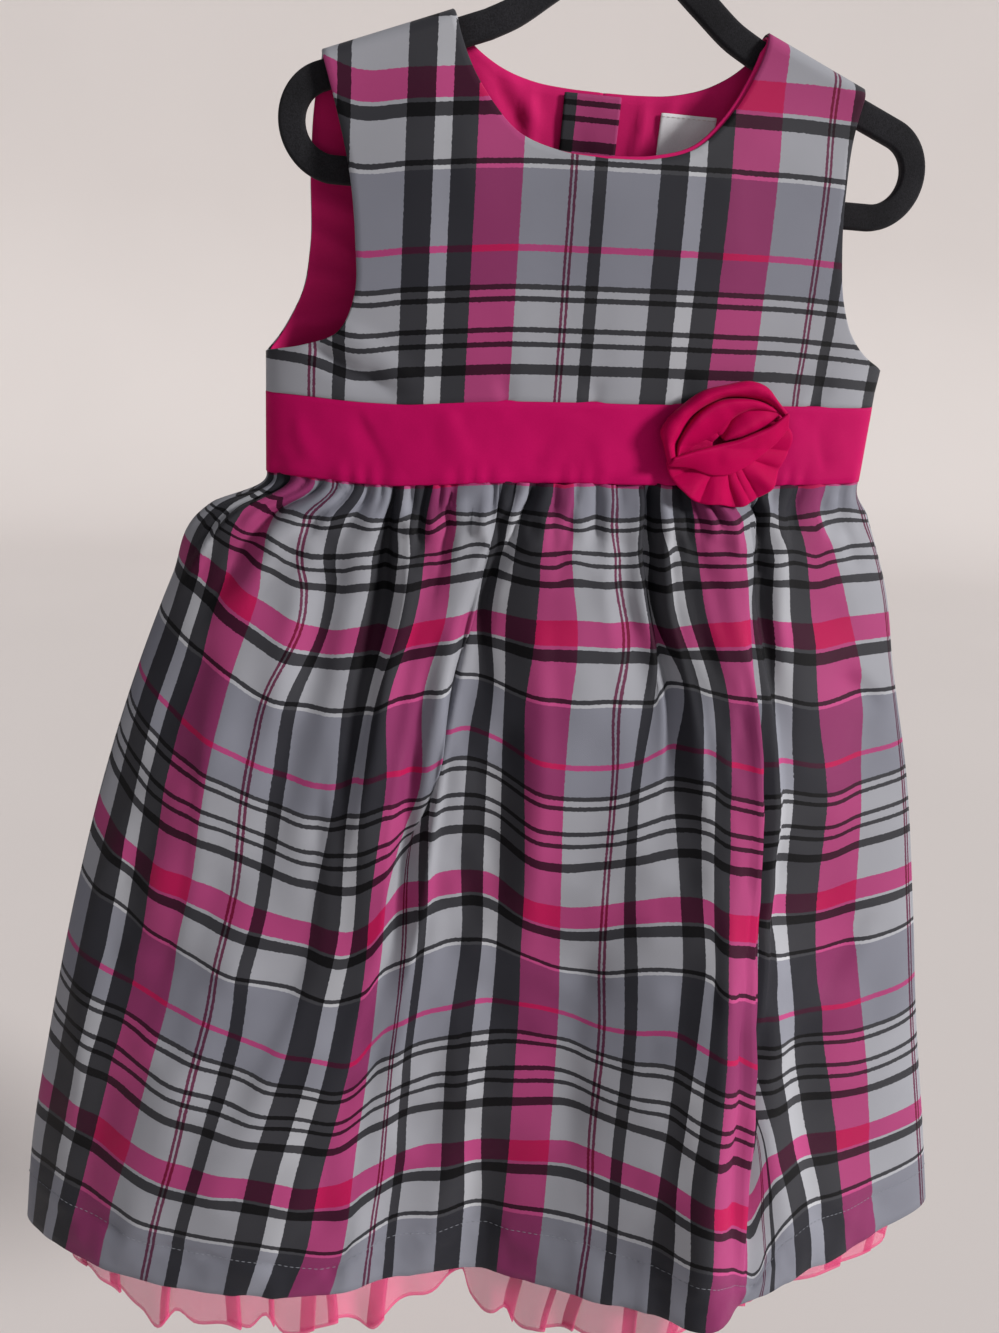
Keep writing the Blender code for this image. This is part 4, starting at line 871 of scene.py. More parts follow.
def varied(tree, coordinates, scale, low, high):
    """A value that drifts slowly between two limits."""
    noise = add(tree, "ShaderNodeTexNoise", {"Vector": coordinates, "Scale": scale, "Detail": 2.0})
    return add(tree, "ShaderNodeMapRange", {"Value": noise.outputs["Fac"], "From Min": 0.3,
                                            "From Max": 0.7, "To Min": low, "To Max": high}).outputs[0]


def toned(tree, base, coordinates, scale, low, high):
    """The colour made a little lighter and darker from place to place."""
    value = varied(tree, coordinates, scale, low, high)
    return add(tree, "ShaderNodeHueSaturation", {"Value": value, "Color": base}).outputs["Color"]


def plaid_material():
    """Taffeta in the chart's plaid: each crossing takes its colour from both yarns."""
    found = bpy.data.materials.get("plaid_taffeta")
    if found:
        return found
    yarns = bpy.context.scene.dress_plaid
    made, tree, shader = plain_material("plaid_taffeta")
    uv, body = places_on(tree)
    stray = add(tree, "ShaderNodeTexNoise", {"Vector": body, "Scale": 900.0, "Detail": 1.0})
    shaken = add(tree, "ShaderNodeVectorMath", {0: stray.outputs["Color"], 1: (0.5, 0.5, 0.5)},
                 operation="SUBTRACT")
    small = add(tree, "ShaderNodeVectorMath", {0: shaken.outputs[0], 1: (0.006, 0.005, 0.0)},
                operation="MULTIPLY")
    moved = add(tree, "ShaderNodeVectorMath", {0: uv, 1: small.outputs[0]}, operation="ADD")
    apart = add(tree, "ShaderNodeSeparateXYZ", {0: moved.outputs[0]})
    across, down = maths(tree, "FRACT", apart.outputs[0]), maths(tree, "FRACT", apart.outputs[1])
    warp = ramp(tree, across, bands(yarns, WARP, WARP_UNITS), "CONSTANT")
    weft = ramp(tree, down, bands(yarns, WEFT, WEFT_REPEAT), "CONSTANT")
    crossed = add(tree, "ShaderNodeMix", {0: 1.0, 6: warp, 7: weft}, data_type="RGBA",
                  blend_type="MULTIPLY")
    threads = weave(tree, uv, WARP_REPEAT * MM / yarns.weave, WEFT_REPEAT * MM / yarns.weave, yarns.relief)
    feed(shader, {
        "Base Color": toned(tree, crossed.outputs[2], body, 14.0, 0.94, 1.05),
        "Roughness": varied(tree, body, 30.0, yarns.roughness - 0.05, yarns.roughness + 0.06),
        "Normal": threads.outputs[0],
        "Sheen Weight": yarns.sheen,
        "Sheen Roughness": 0.4,
        "Specular IOR Level": 0.08,
    })
    return made


def satin_material(name, base, pitch, relief, roughness, sheen):
    """A plain dyed cloth: fine weave, soft colour drift and slightly uneven gloss."""
    found = bpy.data.materials.get(name)
    if found:
        return found
    made, tree, shader = plain_material(name)
    uv, body = places_on(tree)
    tone = toned(tree, dye(tree, base), body, 22.0, 0.93, 1.06)
    feed(shader, {
        "Base Color": toned(tree, tone, body, 1600.0, 0.97, 1.03),
        "Roughness": varied(tree, body, 40.0, roughness - 0.05, roughness + 0.05),
        "Normal": weave(tree, uv, 0.1 / pitch, 0.1 / pitch, relief).outputs[0],
        "Sheen Weight": sheen,
        "Sheen Roughness": 0.35,
        "Specular IOR Level": 0.03,
    })
    return made


def thread_material(name, base):
    """Twisted sewing thread."""
    return satin_material(name, base, 0.0004, 0.00002, 0.6, 0.1)


def band_material():
    """Satin of the waistband."""
    satin = bpy.context.scene.dress_satin
    return satin_material("fuchsia_band", satin.band, 0.0004, 0.00003, satin.roughness, satin.sheen)


def rose_material():
    """Satin of the rosette."""
    satin = bpy.context.scene.dress_satin
    return satin_material("fuchsia_rosette", satin.rose, 0.0004, 0.00003, satin.roughness, satin.sheen)


def lining_material():
    """Smooth lining cloth."""
    satin = bpy.context.scene.dress_satin
    return satin_material("fuchsia_lining", satin.lining, 0.00035, 0.00002, 0.5, satin.sheen)


def label_material():
    """White woven label, left blank."""
    return satin_material("label_tape", (0.80, 0.80, 0.84), 0.0006, 0.00004, 0.55, 0.1)


def net_material():
    """Fine see-through net; its narrow rolled edge is denser."""
    found = bpy.data.materials.get("pink_net")
    if found:
        return found
    net = bpy.context.scene.dress_net
    made, tree, shader = plain_material("pink_net")
    uv, body = places_on(tree)
    apart = add(tree, "ShaderNodeSeparateXYZ", {0: uv})
    edge = add(tree, "ShaderNodeMapRange", {
        "Value": apart.outputs[1],
        "From Min": (NET_BOTTOM - 2.6) / CHART_UNIT,
        "From Max": (NET_BOTTOM - 1.6) / CHART_UNIT,
    }).outputs[0]
    cells = add(tree, "ShaderNodeTexVoronoi", {"Vector": uv, "Scale": 260.0}, feature="DISTANCE_TO_EDGE")
    thread = add(tree, "ShaderNodeMapRange", {"Value": cells.outputs["Distance"], "From Min": 0.05,
                                              "From Max": 0.30, "To Min": net.cover + 0.06,
                                              "To Max": net.cover - 0.05}).outputs[0]
    alpha = add(tree, "ShaderNodeMix", {0: edge, 2: thread, 3: min(1.0, net.cover + 0.30)})
    feed(shader, {
        "Alpha": alpha.outputs[0],
        "Base Color": toned(tree, dye(tree, net.colour), body, 25.0, 0.94, 1.05),
        "Roughness": varied(tree, body, 60.0, 0.5, 0.62),
        "Sheen Weight": 0.05,
    })
    return made


def flock_material():
    """Short black pile on the hanger."""
    found = bpy.data.materials.get("black_flock")
    if found:
        return found
    hanger = bpy.context.scene.dress_hanger
    made, tree, shader = plain_material("black_flock")
    body = places_on(tree)[1]
    worn = toned(tree, dye(tree, hanger.flock), body, 35.0, 0.8, 1.5)
    pile = add(tree, "ShaderNodeTexNoise", {"Vector": body, "Scale": 2600.0, "Detail": 2.0})
    relief = add(tree, "ShaderNodeBump", {"Height": pile.outputs["Fac"], "Distance": hanger.pile})
    feed(shader, {
        "Base Color": toned(tree, worn, body, 2200.0, 0.6, 1.5),
        "Normal": relief.outputs[0],
        "Roughness": varied(tree, body, 80.0, 0.85, 1.0),
        "Sheen Weight": 0.06,
        "Sheen Roughness": 0.6,
        "Specular IOR Level": 0.1,
    })
    return made


def hard_material(name, base, roughness, metallic):
    """Plated wire or moulded plastic with faint handling marks."""
    found = bpy.data.materials.get(name)
    if found:
        return found
    made, tree, shader = plain_material(name)
    body = places_on(tree)[1]
    feed(shader, {
        "Base Color": toned(tree, dye(tree, base), body, 60.0, 0.93, 1.05),
        "Roughness": varied(tree, body, 300.0, roughness, roughness + 0.12),
        "Metallic": metallic,
    })
    return made


# ---------------------------------------------------------------- form of the dress

def arm_drop(x):
    """Drop of the hanger arm's centre line, x from the hanger's middle."""
    x = np.abs(np.asarray(x, float))
    curve = np.array(ARM_CURVE)
    straight = ARM_START_DROP + (x - ARM_START) * ARM_SLOPE
    mirrored = np.concatenate((curve[:0:-1] * (-1.0, 1.0), curve))
    bent = through(mirrored[:, 0], mirrored[:, 1], np.minimum(x, ARM_START))
    return np.where(x < ARM_START, bent, straight)


def strap_top(x):
    """Drop of the straps' top edge, x from the dress's middle."""
    from_middle = np.abs(np.asarray(x, float) + DRESS_SHIFT)
    return ARM_START_DROP + (from_middle - ARM_START) * ARM_SLOPE - ARM_TO_STRAP


def waist_drop(x):
    """Drop of the seam between bodice and waistband."""
    place, width, depth = WAIST_SAG
    x = np.asarray(x, float)
    return WAIST_DROP - WAIST_TILT * x + depth * np.exp(-((x - place) / width) ** 2)


def form(x, drop, face):
    """Out of the plaid's middle at a place, face 1 for the front and -1 for the back."""
    x = np.asarray(x, float)
    drop = np.asarray(drop, float)
    table = np.array(BODY_DEPTH)
    depth = through(table[:, 0], table[:, 1 if face > 0 else 2], drop)
    half = WAIST_HALF + (SHOULDER_HALF - WAIST_HALF) * np.clip(1.0 - drop / UNDERARM, 0.0, 1.0)
    half = np.maximum(half, np.abs(x))
    lens = np.sqrt(1.0 - (x / half) ** 2)
    below = np.maximum(drop - strap_top(x), 0.0)
    blend = ease(below, 0.0, STRAP_BLEND)
    full = STRAP_DEPTH * (1.0 - blend) + depth * lens * blend
    arch = np.sqrt(1.0 - (1.0 - np.minimum(below / ARCH, 1.0)) ** 2)
    return face * np.maximum(full * arch, GAP)


def girth(x, drop, face, steps=48):
    """Distance along the cloth from the dress's middle to a place at the same drop."""
    x, drop = np.nan_to_num(x), np.nan_to_num(drop)
    total = np.zeros_like(x)
    before = form(np.zeros_like(x), drop, face)
    steepest = STEEPEST * np.abs(x / steps)
    for step in range(1, steps + 1):
        after = form(x * step / steps, drop, face)
        total += np.hypot(x / steps, np.clip(after - before, -steepest, steepest))
        before = after
    return total * np.sign(x)


def arc_keys(points):
    """How far along a row of points each of them lies."""
    return np.concatenate(([0.0], np.cumsum(np.linalg.norm(np.diff(points, axis=0), axis=1))))


def between(table, first, last, shares):
    """Points on the smooth curve through a table, at shares of the way from one row to another."""
    table = np.array(table, float)
    keys = arc_keys(table)
    return through(keys, table, keys[first] + (keys[last] - keys[first]) * np.asarray(shares, float))


def bodice_half(side, face, times):
    """Grid of one half of the front or back, rows from the shoulder to the waist."""
    high = (HIGH_POINT, float(strap_top(side * HIGH_POINT)))
    end = (STRAP_END[side], float(strap_top(side * STRAP_END[side])))
    under = (WAIST_HALF, UNDERARM_DROP[side])
    neck = (FRONT_NECK if face > 0 else BACK_NECK) + (high,)
    arm = (end,) + (FRONT_ARMHOLE if face > 0 else BACK_ARMHOLE)[side] + (under,)
    turn = NECK_TURN[face]
    by_neck = np.linspace(0.0, 1.0, NECK_CELLS * times + 1)[:-1, None]
    strap = np.linspace(0.0, 1.0, STRAP_CELLS * times + 1)[:, None]
    shares = finer(SIDE_SHARES, times)[1:]
    rows = []
    for t in finer(STRAP_ROWS, times)[:-1]:
        inner = between(neck, turn, -1, [t])
        outer = between(arm, 1, 0, [t])
        gaps = np.full((len(by_neck), 2), np.nan), np.full((len(shares), 2), np.nan)
        rows.append(np.concatenate((gaps[0], inner + (outer - inner) * strap, gaps[1])))
    neck_edge = between(neck, 0, turn, by_neck[:, 0])
    chest = np.array((CHEST_X, CHEST_DROP))
    below_neck = np.concatenate((by_neck * CHEST_X, np.full_like(by_neck, CHEST_DROP)), axis=1)
    for t in finer(CHEST_ROWS, times)[:-1]:
        inner = chest + (neck[turn] - chest) * t
        outer = between(arm, ARM_TURN, 1, [t])
        rows.append(np.concatenate((below_neck + (neck_edge - below_neck) * t,
                                    inner + (outer - inner) * strap,
                                    np.full((len(shares), 2), np.nan))))
    outer = between(arm, ARM_TURN, 1, [0.0])
    top = np.concatenate((below_neck, chest + (outer - chest) * strap, between(arm, ARM_TURN, -1, shares)))
    arm_foot = min(arm[ARM_TURN][0], WIDEST_ARM_FOOT)
    first = math.asin(arm_foot / WAIST_HALF)
    foot_x = np.concatenate((by_neck[:, 0] * NECK_FOOT, NECK_FOOT + (arm_foot - NECK_FOOT) * strap[:, 0],
                             WAIST_HALF * np.sin(first + (math.pi / 2 - first) * shares)))
    foot = np.stack((foot_x, waist_drop(side * foot_x)), axis=1)
    for t in finer(SIDE_ROWS, times):
        rows.append(foot + (top - foot) * t)
    flat = np.array(rows)
    x, drop = side * flat[..., 0], flat[..., 1]
    return np.stack((x, form(x, drop, face), drop), axis=-1)


def whole_bodice(face, times):
    """Both halves side by side, from -x to +x."""
    return np.concatenate((bodice_half(-1, face, times)[:, :0:-1], bodice_half(1, face, times)), axis=1)


def pushed(grid, normal, out, face):
    """The grid moved along its normals, kept on its own side."""
    return own_side(grid + normal * np.asarray(out)[..., None], face)


def calm_edges(grid, face, reach=10.0):
    """0 where the front and the back meet, 1 away from there."""
    return ease(np.abs(np.nan_to_num(grid[..., 1])), 0.5, reach)


# ---------------------------------------------------------------- form of the skirt

def ring_tables():
    """For each thread round the skirt: place on the ring, out at waist and hem, sideways by level."""
    rows = list(FRONT_THREADS)
    seam = np.array(FRONT_THREADS[-1][3], float)
    spread = (seam - seam[0]) / (seam[-1] - seam[0])
    for across, waist_x, waist_out, hem_x, hem_out in BACK_THREADS:
        rows.append((FRONT_CLOTH + across, waist_out, hem_out, waist_x + (hem_x - waist_x) * spread))
    places, waist, hem = (np.array([row[column] for row in rows], float) for column in range(3))
    return places, waist, hem, np.array([row[3] for row in rows], float)


def fold_out(across, level, folds):
    """How far the broad folds push the cloth out or in."""
    total = np.zeros_like(across)
    for at_waist, at_hem, width, starts, deepest, ends, out in folds:
        centre = at_waist + (at_hem - at_waist) * level / SKIRT_LENGTH
        near = np.clip(np.abs(across - centre) / width, 0.0, 1.0)
        strength = ease(level, starts, deepest) * (1.0 - ease(level, deepest, ends))
        total += out * strength * 0.5 * (1.0 + np.cos(math.pi * near))
    return total


def round_form(at):
    """The waistband's lower edge in plan, read at places on the skirt's ring."""
    at = np.mod(at, FRONT_CLOTH + BACK_CLOTH)
    front = at <= FRONT_CLOTH
    front_places = [row[0] for row in FRONT_THREADS]
    front_x = np.array([row[3][0] for row in FRONT_THREADS], float)
    front_angle = np.arcsin(front_x / np.abs(front_x).max())
    back_places = [0.0] + [row[0] for row in BACK_THREADS] + [BACK_CLOTH]
    back_x = np.array([WAIST_HALF] + [row[1] for row in BACK_THREADS] + [-WAIST_HALF])
    back_angle = np.arcsin(back_x / WAIST_HALF)
    angle = np.where(front, through(front_places, front_angle, np.minimum(at, FRONT_CLOTH)),
                     through(back_places, back_angle, np.maximum(at - FRONT_CLOTH, 0.0)))
    depth = np.where(front, BODY_DEPTH[-1][1], -BODY_DEPTH[-1][2])
    return np.stack((WAIST_HALF * np.sin(angle), depth * np.cos(angle)), axis=1)


def through_each(keys, rows, at):
    """As through, with values of its own for each place that is read."""
    slope = np.gradient(rows, keys, axis=1)
    cell, step, t = curve_cell(keys, at)
    each = np.arange(len(at))
    return hermite(t, step, rows[each, cell], rows[each, cell + 1], slope[each, cell], slope[each, cell + 1])


def ring(level, at):
    """Plan of the skirt: points and outward directions at places round it, each at its level."""
    places, waist, hem, sideways = ring_tables()
    length = FRONT_CLOTH + BACK_CLOTH
    down = np.maximum(level, 0.0)
    x = through(LEVELS, sideways.T, down)
    out = waist + (hem - waist) * ((down / LEVELS[-1]) ** 0.92)[:, None]
    near = (1.0 - ease(down, 0.0, BAND_HOLD))[:, None]
    keys = np.concatenate((places - length, places, places + length))
    x, out = np.tile(x, 3), np.tile(out, 3)

    def plan(at):
        free = np.stack((through_each(keys, x, at), through_each(keys, out, at)), axis=1)
        return free * (1.0 - near) + round_form(at) * near

    step = 0.5
    tangent = plan(at + step) - plan(at - step)
    normal = np.stack((-tangent[:, 1], tangent[:, 0]), axis=1)
    normal /= np.linalg.norm(normal, axis=1, keepdims=True)
    return plan(at), normal


def skirt_drop(level, waist_x):
    """Drop of a skirt point: the waist's tilt fades out towards the level hem."""
    at_waist = waist_drop(waist_x) + BAND_HEIGHT + 0.6
    return at_waist + (SKIRT_DROP + SKIRT_LENGTH - at_waist) * level / SKIRT_LENGTH


def hung(across, weft, slides, droop):
    """Place on the ring and level at which threads of the cloth hang, from the two tables."""
    rows = np.asarray(WEFT_ROWS, float)
    moved = []
    for table in (slides, droop):
        threads = np.array([row[0] for row in table], float)
        at_weft = through(rows, np.array([row[1] for row in table], float).T, np.array([weft]))[0]
        moved.append(through(threads, at_weft, across))
    return across + moved[0], weft * SKIRT_LENGTH / CLOTH_LENGTH + moved[1]


def pleat_out(across, weft, pleats):
    """Out of the folded pleats' layers: the edge rolls over, two layers lie under it."""
    total = np.zeros_like(across)
    for edge, turn, end, folded, opened, lift, roll in pleats:
        rise = lift * ease(across, edge - 32.0, edge - roll)
        over = (lift + 0.5) * ease(across, edge - roll, edge + 0.6 * roll)
        under = 1.4 * ease(across, turn - 3.0, turn + 3.0)
        back = 1.9 * ease(across, end, end + 22.0)
        total += (rise - over - under + back) * (1.0 - ease(weft, folded, opened))
    return total


def gather(on, level, table):
    """Out of the gathers: pointed valleys that open as they run out, and a soft puff between."""
    total = GATHER_PUFF * ease(level, 0.0, 9.0) * (1.0 - ease(level, 13.0, 62.0))
    for place, drift, long, wide, depth in table:
        part = np.clip(level / long, 0.0, 2.2)
        away = np.sqrt((on - place - drift * part) ** 2 + 0.8) - 0.9
        total = total - (GATHER_DEPTH * depth * np.exp(-part ** 2.2) * (0.62 + 0.38 * ease(level, 0.0, 7.0))
                         * np.exp(-away / (wide * (0.45 + 0.75 * part))))
    return total


def off_seam(across, width):
    """0 at the side seams, 1 away from them."""
    return ease(np.minimum(across, width - across), *CALM_AT_SEAM)


def skirt_columns(width, pleats):
    """Places of the cloth's columns, closer together where a pleat turns."""
    extra = [np.linspace(0.0, width, 266)]
    for edge, turn, _, _, _, _, roll in pleats:
        extra.append(np.arange(edge - roll, edge + roll, 1.2))
        extra.append(np.arange(turn - 4.0, turn + 4.0, 1.2))
    places = np.unique(np.round(np.concatenate(extra), 2))
    keep = np.concatenate(([True], np.diff(places) > 0.5))
    keep[-1] = True
    return places[keep]


def skirt_sheet(face, wefts):
    """Points and places on the cloth of the front or back skirt, a row for each weft thread."""
    first, width, folds, table, gathers = (
        (0.0, FRONT_CLOTH, FRONT_FOLDS, SKIRT_CREASES, FRONT_GATHERS) if face > 0
        else (FRONT_CLOTH, BACK_CLOTH, BACK_FOLDS, BACK_SKIRT_CREASES, BACK_GATHERS))
    slides, droop, pleats = ((FRONT_SLIDES, FRONT_DROOP, FRONT_PLEATS) if face > 0
                             else (BACK_SLIDES, BACK_DROOP, BACK_PLEATS))
    scale = bpy.context.scene.dress_satin.crease
    across = skirt_columns(width, pleats)
    rows, places = [], []
    for weft in wefts:
        on, level = hung(across, weft, slides, droop)
        loose = math.exp(-((weft - LOOSE_AT) / LOOSE_REACH) ** 2)
        level = level + loose * LOOSE_DROP * crumple(across, level, 13.0, 81 + face)
        on = on + loose * LOOSE_ASIDE * crumple(across, level, 17.0, 83 + face)
        on[0] = 2 * GAP
        on[-1] = width - 2 * GAP
        calm = off_seam(on, width)
        points, normal = ring(level, first + on)
        waist_x = round_form(first + on)[:, 0]
        out = (fold_out(on, level, folds) + gather(on, level, gathers)) * calm
        out += pleat_out(across, weft, pleats) * ease(weft, 0.0, 6.0) * calm
        out += creases(on, level, table, scale) * np.minimum(1.0, level / 5.0)
        soft = crumple(on, level, 37.0, 5 + face) * 1.4 + crumple(on, level, 15.0, 9 + face) * 0.9
        soft = soft + crumple(on, level * 0.3, 23.0, 35 + face) * 2.2 * ease(level, 20.0, 120.0)
        puff = crumple(on, level, 9.0, 15 + face) * 2.2 * np.exp(-((level - 18.0) / 16.0) ** 2)
        hem = crumple(on, level, 7.0, 25 + face) * 0.6 * ease(weft, CLOTH_LENGTH - 24.0, CLOTH_LENGTH - 18.0)
        out += (soft * ease(level, 4.0, 60.0) + puff + hem) * calm
        sewn_in = math.exp(-((weft - (CLOTH_LENGTH - HEM_DEPTH)) / GROOVE_REACH) ** 2)
        out -= sewn_in * (GROOVE_DEPTH + GROOVE_CRUMPLE * crumple(on, level, 5.0, 27 + face)) * calm
        points = points + normal * out[:, None]
        rows.append(np.stack((points[:, 0], points[:, 1], skirt_drop(level, waist_x)), axis=1))
        places.append(np.stack((across, np.full_like(across, weft)), axis=1))
    return np.array(rows), np.array(places)


def net_places(width, folds):
    """Cloth, ring place, depth and lean of the net's columns: it doubles back at every fold."""
    scale = bpy.context.scene.dress_net.fold
    cloth_at, on_ring, deep, lean = [0.0], [0.0], [0.0], [0.0]
    for place, overlap, leaning in folds:
        overlap = overlap * scale
        ahead = place + overlap / 2 - on_ring[-1]
        for step, back, depth in ((ahead, ahead, 0.9), (1.2, 0.2, 0.3), (overlap + 0.6, -overlap - 0.4, -0.4),
                                  (1.2, 0.2, -1.1)):
            cloth_at.append(cloth_at[-1] + max(step, 0.4))
            on_ring.append(on_ring[-1] + back)
            deep.append(depth)
            lean.append(float(leaning))
    cloth_at.append(cloth_at[-1] + width - on_ring[-1])
    on_ring.append(width)
    deep.append(0.0)
    lean.append(0.0)
    knots = np.array(cloth_at)
    even = np.arange(0.0, knots[-1], 2.4)
    at = np.unique(np.concatenate((even, knots)))
    keep = np.concatenate(([True], np.diff(at) > 0.35))
    keep[-1] = True
    at = at[keep]
    return (at * width / knots[-1],) + tuple(np.interp(at, knots, row) for row in (on_ring, deep, lean))


def net_sheet(face, levels):
    """Points and places on the cloth of the net, tucked behind the band and ruffled below the hem."""
    first, width, folds, pleats, ends = (
        (0.0, FRONT_CLOTH, FRONT_FOLDS, FRONT_NET_FOLDS, FRONT_NET_ENDS) if face > 0
        else (FRONT_CLOTH, BACK_CLOTH, BACK_FOLDS, BACK_NET_FOLDS, BACK_NET_ENDS))
    places, folded, deep, lean = net_places(width, pleats)
    calm = off_seam(places, width)
    higher = through(*np.array(ends, float).T, folded)
    rows, charts = [], []
    for level in levels:
        if level < -1.5:
            x = round_form(first + places)[:, 0]
            drop = waist_drop(x) + BAND_HEIGHT + level
            shrink = 1.0 - NET_BEHIND / np.array((WAIST_HALF, abs(float(form(0.0, SKIRT_DROP, face)))))
            out = face * np.maximum(face * form(x, drop, face) * shrink[1], GAP)
            rows.append(np.stack((x * shrink[0], out, drop), axis=1))
        else:
            ruffle = float(ease(level, NET_RUFFLE_TOP, SKIRT_LENGTH))
            below = float(ease(level, SKIRT_LENGTH - 10.0, NET_BOTTOM))
            on = places * (1.0 - ruffle) + folded * ruffle + lean * below * calm
            on = np.clip(on, 2 * GAP, width - 2 * GAP)
            points, normal = ring(np.full_like(on, min(level, SKIRT_LENGTH)), first + on)
            points = points + normal * (fold_out(on, level, folds) * calm)[:, None]
            inset = float(through(*np.array(NET_INSET).T, np.array([level]))[0])
            ends_at = points[[0, -1]][np.argsort(points[[0, -1], 0])]
            middle = np.interp(points[:, 0], *ends_at.T)
            seam = np.stack((np.zeros(len(on)), middle), axis=1)
            half = np.abs(points - seam).max(axis=0)
            points = seam + (points - seam) * (1.0 - inset / half)
            wave = deep * ruffle * 1.5 + crumple(on, level * 0.25, 14.0, 71 + face) * 2.6 * below
            points = points + normal * (wave * calm)[:, None]
            drop = skirt_drop(level, round_form(first + on)[:, 0])
            drop = drop - higher * float(ease(level, NET_RUFFLE_TOP + 20.0, NET_BOTTOM))
            rows.append(np.stack((points[:, 0], points[:, 1], drop), axis=1))
        charts.append(np.stack((places, np.full_like(places, level)), axis=1))
    return np.array(rows), np.array(charts)


# ---------------------------------------------------------------- form of the rosette

def rose_points(across, up, rise):
    """Points of the flower: sideways and up from its middle, height off the band."""
    x, drop = ROSE_X + across, ROSE_DROP - up
    base = form(x, np.full_like(x, ROSE_DROP), 1) + BAND / 2
    return np.stack((x, base + rise + ROSE_LEAN * np.maximum(-up, 0.0), drop), axis=-1)


# ---------------------------------------------------------------- hanger

def hanger_path(per_arm=40):
    """Centre line of the closed hanger, as sideways and drop, and its unit normals."""
    arm_x = np.concatenate((np.linspace(0.0, ARM_START, per_arm),
                            np.linspace(ARM_START, ARM_START + 34.0, 12)[1:]))
    right = [(x, float(arm_drop(x))) for x in arm_x]
    slope = math.atan(ARM_SLOPE)
    top_angle = math.pi / 2 - slope
    end_drop = BAR_DROP - END_RADIUS
    turn_x = ARM_START + (end_drop - END_RADIUS * math.sin(top_angle) - ARM_START_DROP) / ARM_SLOPE
    centre_x = turn_x - END_RADIUS * math.cos(top_angle)
    for angle in np.linspace(top_angle, -math.pi / 2, 40):
        right.append((centre_x + END_RADIUS * math.cos(angle), end_drop - END_RADIUS * math.sin(angle)))
    for x in np.linspace(centre_x, 0.0, 30)[1:-1]:
        right.append((x, BAR_DROP))
    left = [(-x, drop) for x, drop in right[:0:-1]]
    path = np.array(right + left)
    ahead = np.roll(path, -1, axis=0) - path
    ahead /= np.maximum(np.linalg.norm(ahead, axis=1, keepdims=True), 1e-9)
    tangent = ahead + np.roll(ahead, 1, axis=0)
    tangent /= np.linalg.norm(tangent, axis=1, keepdims=True)
    return path, np.stack((tangent[:, 1], -tangent[:, 0]), axis=1)


def soft_box(width, depth, corner, steps=5):
    """A rounded rectangle round the origin."""
    made = []
    for x, y, turn in ((1, 1, 0), (-1, 1, 1), (-1, -1, 2), (1, -1, 3)):
        for angle in np.linspace(0.0, math.pi / 2, steps) + turn * math.pi / 2:
            made.append((x * (width / 2 - corner) + corner * math.cos(angle),
                         y * (depth / 2 - corner) + corner * math.sin(angle)))
    return np.array(made)


def swept_wire(points, radius, around=16):
    """Rings of a round wire along points that lie in the plane of the hanger, ends rounded."""
    points = np.asarray(points, float)
    tangent = np.gradient(points, axis=0)
    tangent /= np.linalg.norm(tangent, axis=1, keepdims=True)
    aside = np.stack((tangent[:, 1], -tangent[:, 0]), axis=1)
    rings = []
    turns = np.linspace(0.0, 2.0 * math.pi, around, endpoint=False)

    def ring_at(centre, side, size):
        flat = centre + side * (np.cos(turns) * size)[:, None]
        rings.append(np.stack((flat[:, 0], np.sin(turns) * size, flat[:, 1]), axis=1))

    for tip in (80.0, 60.0, 40.0, 20.0):
        angle = math.radians(tip)
        ring_at(points[0] - tangent[0] * radius * math.sin(angle), aside[0], radius * math.cos(angle))
    for centre, side in zip(points, aside):
        ring_at(centre, side, radius)
    for tip in (20.0, 40.0, 60.0, 80.0):
        angle = math.radians(tip)
        ring_at(points[-1] + tangent[-1] * radius * math.sin(angle), aside[-1], radius * math.cos(angle))
    return np.array(rings)


# ---------------------------------------------------------------- stitches

